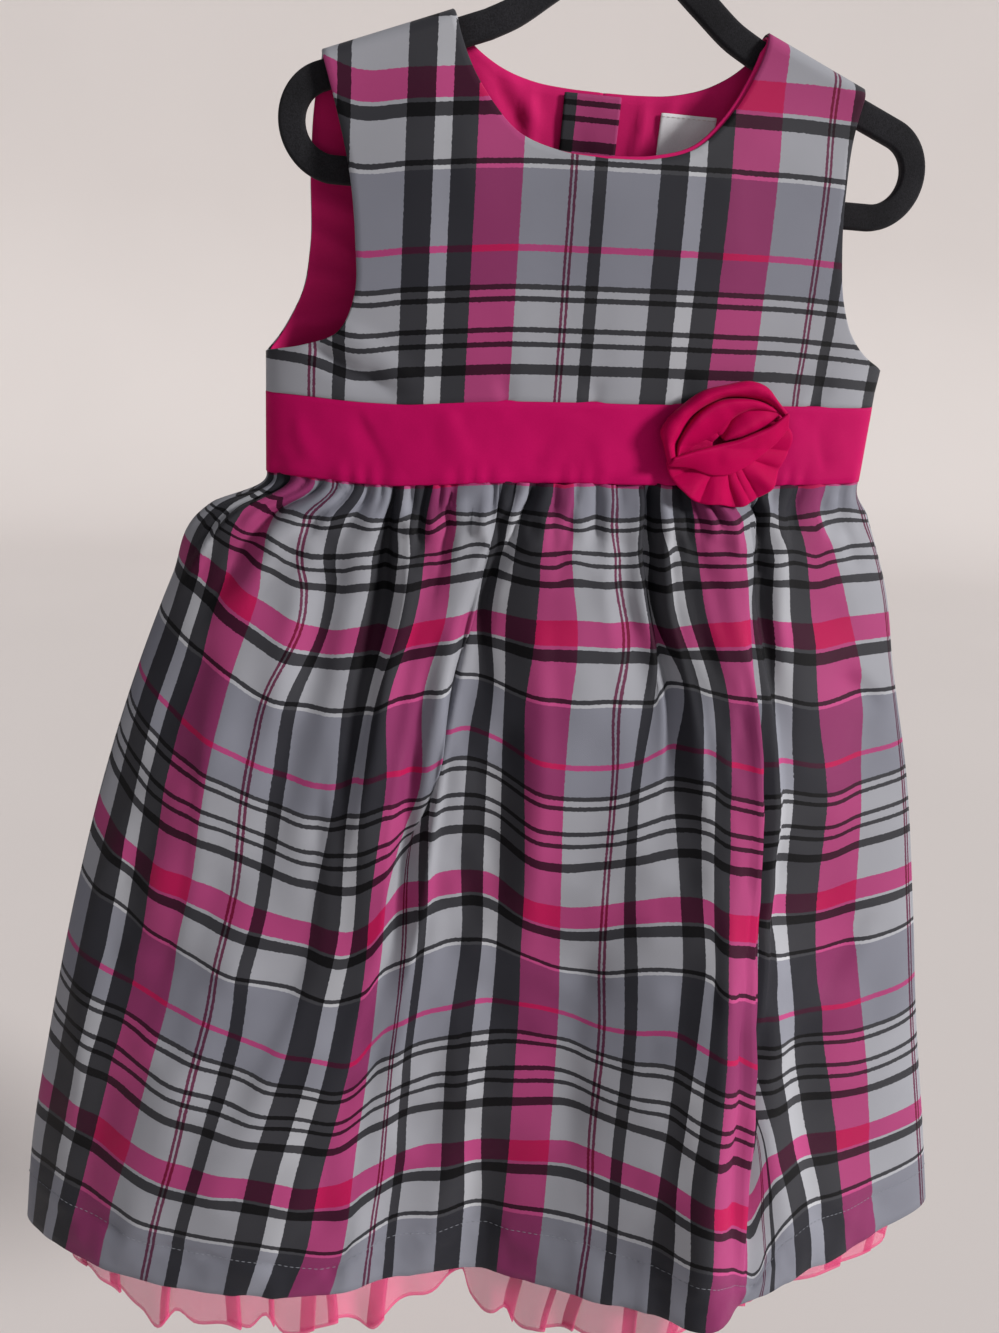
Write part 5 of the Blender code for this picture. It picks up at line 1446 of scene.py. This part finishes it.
def stitch_tree():
    """Nodes that lay short stitches along a line of edges."""
    found = bpy.data.node_groups.get("sewn_line")
    if found:
        return found
    tree = bpy.data.node_groups.new("sewn_line", "GeometryNodeTree")
    face = tree.interface
    face.new_socket("Geometry", in_out="INPUT", socket_type="NodeSocketGeometry")
    for name in ("Spacing", "Stitch Length", "Thread Radius"):
        face.new_socket(name, in_out="INPUT", socket_type="NodeSocketFloat")
    face.new_socket("Seed", in_out="INPUT", socket_type="NodeSocketInt")
    face.new_socket("Material", in_out="INPUT", socket_type="NodeSocketMaterial")
    face.new_socket("Geometry", in_out="OUTPUT", socket_type="NodeSocketGeometry")
    given = add(tree, "NodeGroupInput").outputs
    line = add(tree, "GeometryNodeMeshToCurve", {0: given["Geometry"]})
    spaced = add(tree, "GeometryNodeResampleCurve", {"Curve": line.outputs[0], "Length": given["Spacing"]},
                 mode="LENGTH")
    tangent = add(tree, "GeometryNodeInputTangent")
    turned = add(tree, "FunctionNodeAlignRotationToVector", {"Vector": tangent.outputs[0]}, axis="Z")
    grain = add(tree, "GeometryNodeMeshUVSphere", {"Segments": 6, "Rings": 5, "Radius": 1.0})
    half = add(tree, "ShaderNodeMath", {0: given["Stitch Length"], 1: 0.5}, operation="MULTIPLY")
    uneven = add(tree, "FunctionNodeRandomValue", {2: 0.85, 3: 1.12, "Seed": given["Seed"]},
                 data_type="FLOAT")
    long = add(tree, "ShaderNodeMath", {0: half.outputs[0], 1: uneven.outputs[1]}, operation="MULTIPLY")
    size = add(tree, "ShaderNodeCombineXYZ", {0: given["Thread Radius"], 1: given["Thread Radius"],
                                              2: long.outputs[0]})
    laid = add(tree, "GeometryNodeInstanceOnPoints",
               {"Points": spaced.outputs[0], "Instance": grain.outputs[0], "Rotation": turned.outputs[0],
                "Scale": size.outputs[0]})
    real = add(tree, "GeometryNodeRealizeInstances", {0: laid.outputs[0]})
    painted = add(tree, "GeometryNodeSetMaterial", {"Geometry": real.outputs[0],
                                                    "Material": given["Material"]})
    add(tree, "NodeGroupOutput", {0: painted.outputs[0]})
    return tree


def sewn(name, lines, look, sizes):
    """One mesh of stitches along each of the lines, given in millimetres."""
    points, edges = [], []
    for line in lines:
        start = len(points)
        points += to_world(line).tolist()
        edges += [(start + place, start + place + 1) for place in range(len(line) - 1)]
    guide_mesh = bpy.data.meshes.new(name + "_guide")
    guide_mesh.from_pydata(points, edges, [])
    guide = bpy.data.objects.new(name + "_guide", guide_mesh)
    bpy.context.scene.collection.objects.link(guide)
    tree = stitch_tree()
    modifier = guide.modifiers.new("Stitches", "NODES")
    modifier.node_group = tree
    values = {"Spacing": sizes[0], "Stitch Length": sizes[1], "Thread Radius": sizes[2],
              "Seed": bpy.context.scene.dress_stitch.seed, "Material": look}
    for item in tree.interface.items_tree:
        if item.in_out == "INPUT" and item.name in values:
            modifier[item.identifier] = values[item.name]
    depsgraph = bpy.context.evaluated_depsgraph_get()
    mesh = bpy.data.meshes.new_from_object(guide.evaluated_get(depsgraph))
    bpy.data.objects.remove(guide)
    mesh.name = name
    mesh.materials.clear()
    mesh.shade_smooth()
    return add_object(name, mesh, look)


# ---------------------------------------------------------------- operators

def bodice_out(grid, face):
    """How far the creases push the bodice's plaid out; the lining under it goes with it."""
    table = BODICE_CREASES if face > 0 else BACK_CREASES
    out = creases(grid[..., 0], grid[..., 2], table, bpy.context.scene.dress_satin.crease)
    out += 0.25 * crumple(grid[..., 0], grid[..., 2], 26.0, 21 + face)
    return out * calm_edges(grid, face)


class DRESS_OT_bodice(bpy.types.Operator):
    """Make the plaid front and the two plaid backs of the bodice"""
    bl_idname = "dress.bodice"
    bl_label = "Bodice"

    def execute(self, context):
        for face in (1, -1):
            grid = whole_bodice(face, 6)
            chart = bodice_chart(grid, face)
            grid = pushed(grid, outward(grid, face), bodice_out(grid, face), face)
            bodice_pieces("bodice", face, grid, chart, SHELL, plaid_material(), "plaid")
        return {"FINISHED"}


def plaid_chart(across, down, warp_start, weft_start):
    """Places on the cloth as places in the plaid's chart, in repeats."""
    return np.stack(((across - warp_start) / WARP_REPEAT, (down - weft_start) / WEFT_REPEAT), axis=-1)


def bodice_chart(grid, face):
    """Where each point lies in the plaid's chart."""
    across = girth(grid[..., 0], grid[..., 2], face)
    down = np.nan_to_num(grid[..., 2])
    if face > 0:
        table = np.array(BODICE_HANG)
        pulled = through(table[:, 0], table[:, 1:], np.nan_to_num(grid[..., 0]).ravel())
        across = across + pulled[:, 0].reshape(across.shape)
        down = down + pulled[:, 1].reshape(across.shape)
    return plaid_chart(across, down, WARP_START, WEFT_START)


def split_at_back(grid, chart):
    """The back's two halves with their charts, parted at the centre opening."""
    middle = grid.shape[1] // 2
    left, right = grid[:, :middle + 1].copy(), grid[:, middle:].copy()
    left[:, -1, 0] -= BACK_PARTING / 2
    right[:, 0, 0] += BACK_PARTING / 2
    return (left, chart[:, :middle + 1]), (right, chart[:, middle:])


def bodice_pieces(kind, face, grid, chart, thickness, look, slot):
    """The front, or both backs, of the plaid or of the lining that lies on it."""
    if face > 0:
        parts = {"front": (grid, chart)}
    else:
        parts = dict(zip(("back_left", "back_right"), split_at_back(grid, chart)))
    for name, part in parts.items():
        piece = cloth(f"{kind}_{name}_cloth", *part, thickness, look, face)
        finish_piece(piece, slot, f"{kind}_{name}")


class DRESS_OT_lining(bpy.types.Operator):
    """Make the fuchsia lining inside the front and the backs"""
    bl_idname = "dress.lining"
    bl_label = "Lining"

    def execute(self, context):
        inward = SHELL / 2 + PLY_GAP / 2 + LINING / 2
        scale = context.scene.dress_satin.crease
        for face in (1, -1):
            grid = whole_bodice(face, 6)
            chart = np.nan_to_num(grid[..., [0, 2]]) / CHART_UNIT
            out = bodice_out(grid, face) - inward
            out -= 0.12 * np.abs(crumple(grid[..., 0], grid[..., 2], 7.0, 31))
            if face < 0:
                dents = creases(grid[..., 0], grid[..., 2], LINING_CREASES, scale)
                out = out - np.abs(dents) * calm_edges(grid, face)
            grid = pushed(grid, outward(grid, face), out, face)
            if face > 0:
                grid = rolled_neck(grid)
            bodice_pieces("lining", face, grid, chart, LINING, lining_material(), "lining")
        return {"FINISHED"}


def rolled_neck(grid):
    """The front lining rolls a little over the neck's edge, most on the +x side."""
    half = np.array(FRONT_NECK)
    edge = between(np.concatenate((half[:0:-1] * (-1.0, 1.0), half)), 0, -1, np.linspace(0.0, 1.0, 160))
    x, drop = np.nan_to_num(grid[..., 0]), np.nan_to_num(grid[..., 2])
    away = np.hypot(x[..., None] - edge[:, 0], drop[..., None] - edge[:, 1]).min(axis=-1)
    roll = 1.9 * ease(x, -45.0, 25.0) * np.exp(-(away / 3.0) ** 2)
    up = np.hypot(x, drop - 2.0)
    moved = grid.copy()
    moved[..., 0] -= roll * x / up
    moved[..., 2] -= roll * (drop - 2.0) / up
    return moved


def patch(across, down, columns, rows, inward):
    """A grid on the back of the bodice's form, moved in by a distance."""
    x, drop = np.meshgrid(np.linspace(*across, columns), np.linspace(*down, rows))
    grid = np.stack((x, form(x, drop, -1), drop), axis=2)
    return pushed(grid, outward(grid, -1), np.full(grid.shape[:2], -inward), -1)


class DRESS_OT_back_details(bpy.types.Operator):
    """Make the plaid facing and the blank label inside the back neck, and the buttons outside"""
    bl_idname = "dress.back_details"
    bl_label = "Back details"

    def execute(self, context):
        inward = SHELL / 2 + PLY_GAP + LINING + PLY_GAP + LINING / 2
        grid = patch(FACING_X, FACING_DROP, 26, 100, inward)
        flat = grid[..., [0, 2]]
        grid[..., 1] += 0.3 * crumple(flat[..., 0], flat[..., 1], 8.0, 41)
        chart = plaid_chart(flat[..., 0] - FACING_X[0], flat[..., 1], FACING_WARP_START, FACING_WEFT_START)
        piece = cloth("back_facing_strip", grid, chart, 0.8, plaid_material(), -1)
        finish_piece(piece, "plaid", "back_facing")

        grid = patch(LABEL_X, LABEL_DROP, 27, 21, inward)
        flat = grid[..., [0, 2]]
        curl = ease(flat[..., 1], LABEL_DROP[0] + 9.0, LABEL_DROP[1])
        grid[..., 1] += curl * 1.2 + 0.15 * crumple(flat[..., 0], flat[..., 1], 6.0, 43)
        piece = cloth("blank_label", grid, flat / CHART_UNIT, 0.6, label_material(), -1)
        sizes = context.scene.dress_stitch
        thread = thread_material("pale_thread", sizes.label_thread)
        raised = grid + outward(grid, -1) * -0.42
        stitches = sewn("label_stitches", [raised[1, 1:-1]], thread,
                        (0.0022, 0.0016, sizes.radius))
        finish_piece(piece, "label", "neck_label")
        finish_piece(stitches, "label")
        for number, drop in enumerate(BUTTON_DROPS, 1):
            make_button(number, drop)
        return {"FINISHED"}


def make_button(number, drop):
    """A shallow dished button with four holes and its crossed thread."""
    radii = np.concatenate((np.linspace(0.0, 0.62, 16), (0.68, 0.74, 0.8, 0.86, 0.92, 0.97, 1.0)))
    turns = np.linspace(0.0, 2.0 * math.pi, 48, endpoint=False)
    radius, turn = np.meshgrid(radii, turns, indexing="ij")
    height = np.where(radius < 0.7, 0.55 + 0.12 * ease(radius, 0.55, 0.7), 1.0)
    height = height * (1.0 - 0.45 * ease(radius, 0.9, 1.0))
    height = np.where((radius >= 0.62) & (radius < 0.75), 0.67 + 0.33 * ease(radius, 0.62, 0.75), height)
    for corner in range(4):
        angle = math.pi / 4 + corner * math.pi / 2
        away = np.hypot(radius * np.cos(turn) - BUTTON_HOLE * math.cos(angle),
                        radius * np.sin(turn) - BUTTON_HOLE * math.sin(angle))
        height = height * (1.0 - 0.75 * (1.0 - ease(away, 0.07, 0.12)))
    lean = float(form(BUTTON_X, drop - 2.0, -1) - form(BUTTON_X, drop + 2.0, -1)) / 4.0
    stand = SHELL / 2 + PLY_GAP
    centre = np.array((BUTTON_X, float(form(BUTTON_X, drop, -1)) - stand, drop))
    away = np.array((0.0, -1.0, lean)) / math.hypot(1.0, lean)
    down = np.array((0.0, lean, 1.0)) / math.hypot(1.0, lean)
    side = np.array((1.0, 0.0, 0.0))

    def at(radius, turn, height):
        flat = (radius * np.cos(turn))[..., None] * side + (radius * np.sin(turn))[..., None] * down
        return centre + flat * BUTTON_RADIUS + np.asarray(height)[..., None] * away * BUTTON_THICK

    face = at(radius, turn, height)
    edge = at(np.full((2, len(turns)), 1.0), np.tile(turns, (2, 1)), np.array([[0.3], [0.12]]) + 0.0 * turns)
    under = at(np.full((1, len(turns)), 0.9), turns[None], np.zeros((1, len(turns))))
    rows = np.concatenate((face[1:], edge, under))
    made = tube(f"back_button_{number}_face", to_world(rows), hard_material(
        "button_shell", (0.42, 0.43, 0.46), 0.28, 0.0))
    span = np.array((-BUTTON_HOLE, BUTTON_HOLE))
    lines = [at(span, np.full(2, angle), np.full(2, 0.62)) for angle in (math.pi / 4, -math.pi / 4)]
    thread = thread_material("button_thread", bpy.context.scene.dress_stitch.thread)
    length = 2 * BUTTON_HOLE * BUTTON_RADIUS * MM
    stitches = sewn(f"button_thread_{number}", lines, thread, (length * 0.33, length * 0.42, 0.00028))
    finish_piece(made, "button", f"back_button_{number}")
    finish_piece(stitches, "button")


def band_grid(face, x, downs):
    """Middle surface of the waistband on one face, at places across and below its upper seam."""
    rows = []
    for down in downs:
        drop = waist_drop(x) + down
        rows.append(np.stack((x, form(x, drop, face), drop), axis=1))
    return np.array(rows)


class DRESS_OT_waistband(bpy.types.Operator):
    """Make the fuchsia waistband, seamed at both sides"""
    bl_idname = "dress.waistband"
    bl_label = "Waistband"

    def execute(self, context):
        scale = context.scene.dress_satin.crease
        angles = np.radians(np.linspace(-90.0, 90.0, 221))
        downs = np.linspace(0.15, BAND_HEIGHT + 0.2, 40)
        for name, face in (("front", 1), ("back", -1)):
            x = WAIST_HALF * np.sin(angles)
            grid = band_grid(face, x, downs)
            below = np.broadcast_to(downs[:, None], grid.shape[:2])
            across = np.broadcast_to(x, grid.shape[:2])
            out = creases(across * face, below, BAND_CREASES, scale)
            out += 0.35 * crumple(across, below, 18.0, 51 + face) + 0.12 * crumple(across, below, 6.0, 53)
            hold = ease(below, 0.0, 5.0) * (1.0 - 0.7 * ease(below, BAND_HEIGHT - 5.0, BAND_HEIGHT))
            pucker = 0.35 * np.sin(across * 0.55 + np.sin(across * 0.13) * 3.0)
            out = out * hold + pucker * ease(below, BAND_HEIGHT - 12.0, BAND_HEIGHT)
            edge = 0.5 * np.exp(-(below / 1.2) ** 2) + 0.6 * np.exp(-((below - BAND_HEIGHT) / 1.4) ** 2)
            out = (out - edge) * calm_edges(grid, face, 6.0)
            grid = pushed(grid, outward(grid, face), out, face)
            chart = np.stack((across, below), axis=-1) / CHART_UNIT
            piece = cloth(f"waistband_{name}_cloth", grid, chart, BAND, band_material(), face)
            finish_piece(piece, "satin", "waistband_" + name)
        return {"FINISHED"}


def skirt_wefts():
    """Weft places of the skirt's rows, close together in the gathers and at the hem's stitches."""
    sewn = CLOTH_LENGTH - HEM_DEPTH
    return np.concatenate((np.arange(0.0, 56.0, 1.8), np.linspace(56.0, sewn - 6.0, 93),
                           sewn + np.arange(-4.0, 5.0, 2.0), np.linspace(sewn + 7.0, CLOTH_LENGTH, 5)))


class DRESS_OT_skirt(bpy.types.Operator):
    """Make the gathered plaid skirt, front and back"""
    bl_idname = "dress.skirt"
    bl_label = "Skirt"

    def execute(self, context):
        for name, face, width in (("front", 1, FRONT_CLOTH), ("back", -1, BACK_CLOTH)):
            grid, places = skirt_sheet(face, skirt_wefts())
            chart = plaid_chart(places[..., 0], places[..., 1], SKIRT_WARP_START, SKIRT_WEFT_START)
            piece = cloth(f"skirt_{name}_cloth", grid, chart, TAFFETA, plaid_material(), face, split=False)
            hem = skirt_sheet(face, [CLOTH_LENGTH - HEM_DEPTH - 1.0, CLOTH_LENGTH - HEM_DEPTH])[0]
            line = (hem + outward(hem, face) * (TAFFETA / 2 + 0.05))[1]
            sizes = context.scene.dress_stitch
            thread = thread_material("grey_thread", sizes.thread)
            stitches = sewn(f"hem_stitches_{name}", [line], thread,
                            (sizes.spacing, sizes.length, sizes.radius))
            finish_piece(piece, "plaid", "skirt_" + name)
            finish_piece(stitches, "plaid")
        return {"FINISHED"}


class DRESS_OT_net(bpy.types.Operator):
    """Make the pink net underskirt with the ruffle that shows below the hem"""
    bl_idname = "dress.net"
    bl_label = "Net ruffle"

    def execute(self, context):
        levels = np.concatenate((NET_TUCK, np.linspace(-1.0, NET_RUFFLE_TOP, 26),
                                 np.linspace(NET_RUFFLE_TOP, NET_BOTTOM, 32)[1:]))
        for name, face, width in (("front", 1, FRONT_CLOTH), ("back", -1, BACK_CLOTH)):
            grid, places = net_sheet(face, levels)
            piece = cloth(f"net_{name}_cloth", grid, places / CHART_UNIT, NET, net_material(), face,
                          split=False)
            finish_piece(piece, "net", "net_" + name)
        return {"FINISHED"}


class DRESS_OT_rosette(bpy.types.Operator):
    """Make the fuchsia rosette: a gathered ruffle with folded petals on it"""
    bl_idname = "dress.rosette"
    bl_label = "Rosette"

    def execute(self, context):
        shares = np.linspace(0.24, 1.0, 26)
        rim = self.closed_rim(288)
        turn = np.degrees(np.arctan2(rim[:, 1] + 1.0, rim[:, 0] - 1.0))
        radius = shares[:, None]
        rise = 4.2 - 1.4 * radius ** 2 + np.zeros((1, len(rim)))
        for angle, wide, depth, lean in RUFFLE_CREASES:
            away = np.abs((turn[None] - angle - lean * radius + 180.0) % 360.0 - 180.0)
            rise = rise - depth * (0.35 + 0.65 * ease(radius, 0.35, 0.8)) * np.exp(-away / wide)
            rise = rise + 0.4 * depth * ease(radius, 0.5, 1.0) * np.exp(-((away - 1.9 * wide) / wide) ** 2)
        pull = 1.0 + 0.02 * np.sin(np.radians(turn) * 9.0 + 0.6)[None] * radius
        flat = rim[None] * (radius * pull)[..., None]
        grid = rose_points(flat[..., 0], flat[..., 1], np.maximum(rise, 0.9))
        chart = np.stack(np.broadcast_arrays(np.radians(turn) * radius * 0.28, radius * 0.28), axis=-1)
        piece = cloth("rosette_ruffle_cloth", grid, chart, 0.9, rose_material(), 1, closed=True, split=False)
        finish_piece(piece, "satin", "rosette_ruffle")
        for petal in ROSE_PETALS:
            self.petal(*petal)
        return {"FINISHED"}

    def closed_rim(self, count):
        """Points at even distances round the ruffle's rim."""
        wrapped = np.array(RUFFLE_RIM[-2:] + RUFFLE_RIM + RUFFLE_RIM[:3])
        keys = arc_keys(wrapped)
        at = np.linspace(keys[2], keys[2 + len(RUFFLE_RIM)], count, endpoint=False)
        return through(keys, wrapped, at)

    def petal(self, name, rim, edge, crown, highest, long, wide):
        """One folded petal between two curves, thick at its rolled fold and flat at its ends."""
        along = np.linspace(0.0, 1.0, 96)
        part = np.linspace(0.0, 1.0, 30)[:, None]
        outer, inner = (between(ROSE_CURVES[key][1], 0, -1, along) for key in (rim, edge))
        flat = outer[None] * (1.0 - part[..., None]) + inner[None] * part[..., None]
        bulge = np.sin(math.pi * part ** (math.log(0.5) / math.log(highest))) ** 0.7
        full = np.sin(math.pi * (0.04 + 0.92 * along))[None] ** 0.5
        height = ROSE_CURVES[rim][0] * (1.0 - part) + ROSE_CURVES[edge][0] * part
        height = height + crown * bulge * full + 0.3 * crumple(flat[..., 0], flat[..., 1], 5.0, 61)
        grid = rose_points(flat[..., 0], flat[..., 1], height)
        chart = np.stack(np.broadcast_arrays(along * long * 10.0, part * wide * 10.0), axis=-1)
        piece = cloth(name + "_cloth", grid, chart, 0.9, rose_material(), 1, split=False)
        finish_piece(piece, "satin", name)


class DRESS_OT_hanger(bpy.types.Operator):
    """Make the flocked hanger, its neck and the wire hook"""
    bl_idname = "dress.hanger"
    bl_label = "Hanger"

    def execute(self, context):
        path, normal = hanger_path()
        profile = soft_box(STROKE, HANGER_THICK, EDGE_ROUND)
        flat = path[:, None] + normal[:, None] * profile[None, :, :1]
        rows = np.stack((flat[..., 0], np.broadcast_to(profile[:, 1], flat.shape[:2]), flat[..., 1]), axis=-1)
        body = tube("hanger_cover", to_world(rows, 0.0), flock_material(), caps=False)
        finish_piece(body, "flock", "hanger_body")

        neck_base = -ARM_CURVE[0][1] + STROKE / 2 + 0.3
        turns = np.linspace(0.0, 2.0 * math.pi, 40, endpoint=False)
        rings = []
        for rise, radius in ((-0.8, 0.9), (0.0, 1.0), (0.6, 1.0), (1.2, 0.93), (2.0, 0.9), (5.5, 0.82),
                             (7.0, 0.8), (7.7, 0.74), (NECK_HEIGHT, 0.6)):
            size = NECK_RADIUS * radius
            flatter = min(1.0, 2.7 / 4.5 + rise / 9)
            rings.append(np.stack((size * np.cos(turns), size * np.sin(turns) * flatter,
                                   np.full_like(turns, -(neck_base + rise))), axis=1))
        neck = tube("hanger_collar", to_world(np.array(rings), 0.0), flock_material())
        finish_piece(neck, "flock", "hanger_neck")

        shank_top = neck_base + NECK_HEIGHT + 0.3
        centre = shank_top + SHANK
        start = math.radians(HOOK_FROM)
        joint = (HOOK_RADIUS * math.cos(start), centre + HOOK_RADIUS * math.sin(start))
        reach = np.linspace(0.0, 1.0, 40)
        x = through((0.0, 0.45, 0.7, 0.86, 1.0), (0.0, 0.0, 0.16, 0.5, 1.0), reach) * joint[0]
        rise = shank_top - 1.0 + reach * (joint[1] - shank_top + 1.0)
        points = list(zip(x, -rise))
        for angle in np.radians(np.linspace(HOOK_FROM, HOOK_TO, 90)[1:]):
            points.append((HOOK_RADIUS * math.cos(angle), -(centre + HOOK_RADIUS * math.sin(angle))))
        hook = tube("hanger_wire", to_world(swept_wire(points, WIRE), 0.0),
                    hard_material("plated_wire", context.scene.dress_hanger.metal, 0.16, 1.0))
        finish_piece(hook, "chrome", "hanger_hook")
        return {"FINISHED"}


def camera_matrix():
    """Place and turn of the camera: yaw and pitch towards the dress, then its roll."""
    pitch, yaw, roll = (math.radians(value) for value in (18.6, 7.2, 4.2))
    ahead = Vector((math.sin(yaw) * math.cos(pitch), math.cos(yaw) * math.cos(pitch), -math.sin(pitch)))
    right = Vector((math.cos(yaw), -math.sin(yaw), 0.0))
    down = ahead.cross(right)
    across = right * math.cos(roll) - down * math.sin(roll)
    up = -(right * math.sin(roll) + down * math.cos(roll))
    turn = Matrix((across, up, -ahead)).transposed().to_4x4()
    return Matrix.Translation((-0.0915, -0.469, -0.2189)) @ turn


class DRESS_OT_stage(bpy.types.Operator):
    """Set up the pale floor and backdrop, the soft light and the camera"""
    bl_idname = "dress.stage"
    bl_label = "Stage"

    def execute(self, context):
        scene = context.scene
        stage = scene.dress_stage
        paper, tree, shader = plain_material("stage_paper")
        tone = toned(tree, dye(tree, stage.paper), places_on(tree)[1], 1.5, 0.985, 1.01)
        feed(shader, {"Base Color": tone, "Roughness": 0.9})
        half, back, bend, top = 6.0, 4.0, 1.2, 5.0
        profile = [(-6.0, 0.0), (back - bend, 0.0)]
        for angle in np.linspace(0.0, math.pi / 2, 24)[1:]:
            profile.append((back - bend + bend * math.sin(angle), bend * (1.0 - math.cos(angle))))
        profile.append((back, top))
        points, faces = [], []
        for y, z in profile:
            points += [(-half, y, z + stage.floor), (half, y, z + stage.floor)]
        for row in range(len(profile) - 1):
            faces.append((2 * row, 2 * row + 1, 2 * row + 3, 2 * row + 2))
        mesh = bpy.data.meshes.new("stage_sweep")
        mesh.from_pydata(points, [], faces)
        mesh.shade_smooth()
        add_object("stage_sweep", mesh, paper)

        world = bpy.data.worlds.new("soft_air")
        world.use_nodes = True
        feed(world.node_tree.nodes["Background"], {"Color": (*stage.air, 1.0), "Strength": stage.fill})
        scene.world = world
        for name, place, spread, power, tint in (
                ("key_light", (1.7, -1.0, 0.8), 12.0, stage.key, (1.0, 0.975, 0.95)),
                ("side_light", (1.0, 0.35, 0.5), 50.0, stage.key * 0.22, (1.0, 0.98, 0.97))):
            data = bpy.data.lights.new(name, "SUN")
            data.angle = math.radians(spread)
            data.energy = power
            data.color = tint
            lamp = bpy.data.objects.new(name, data)
            lamp.rotation_euler = (-Vector(place)).to_track_quat("-Z", "Y").to_euler()
            scene.collection.objects.link(lamp)

        data = bpy.data.cameras.new("camera")
        data.sensor_fit = "AUTO"
        data.sensor_width = 36.0
        data.lens = stage.lens
        data.clip_start = 0.01
        camera = bpy.data.objects.new("camera", data)
        camera.matrix_world = camera_matrix()
        scene.collection.objects.link(camera)
        scene.camera = camera
        scene.view_settings.view_transform = "Standard"
        return {"FINISHED"}


OPERATORS = (
    DRESS_OT_stage, DRESS_OT_hanger, DRESS_OT_bodice, DRESS_OT_lining, DRESS_OT_back_details,
    DRESS_OT_waistband, DRESS_OT_skirt, DRESS_OT_net, DRESS_OT_rosette,
)


class DRESS_PT_panel(bpy.types.Panel):
    """Settings and pieces of the dress"""
    bl_idname = "DRESS_PT_panel"
    bl_label = "Party Dress"
    bl_space_type = "VIEW_3D"
    bl_region_type = "UI"
    bl_category = "Party Dress"

    def draw(self, context):
        for name, group in SETTINGS.items():
            box = self.layout.box()
            box.label(text=group.__doc__)
            for prop in group.__annotations__:
                box.prop(getattr(context.scene, name), prop)
        column = self.layout.column(align=True)
        for operator in OPERATORS:
            column.operator(operator.bl_idname)


def register():
    """Registers the settings, the operators and the panel."""
    for name, group in SETTINGS.items():
        bpy.utils.register_class(group)
        setattr(bpy.types.Scene, name, PointerProperty(type=group))
    for cls in (*OPERATORS, DRESS_PT_panel):
        bpy.utils.register_class(cls)


def unregister():
    """Takes them out again."""
    for cls in (DRESS_PT_panel, *reversed(OPERATORS)):
        bpy.utils.unregister_class(cls)
    for name, group in SETTINGS.items():
        delattr(bpy.types.Scene, name)
        bpy.utils.unregister_class(group)


def main():
    """Registers the add-on and makes every piece in order."""
    register()
    for operator in OPERATORS:
        group, name = operator.bl_idname.split(".")
        getattr(getattr(bpy.ops, group), name)()


if __name__ == "__main__":
    main()
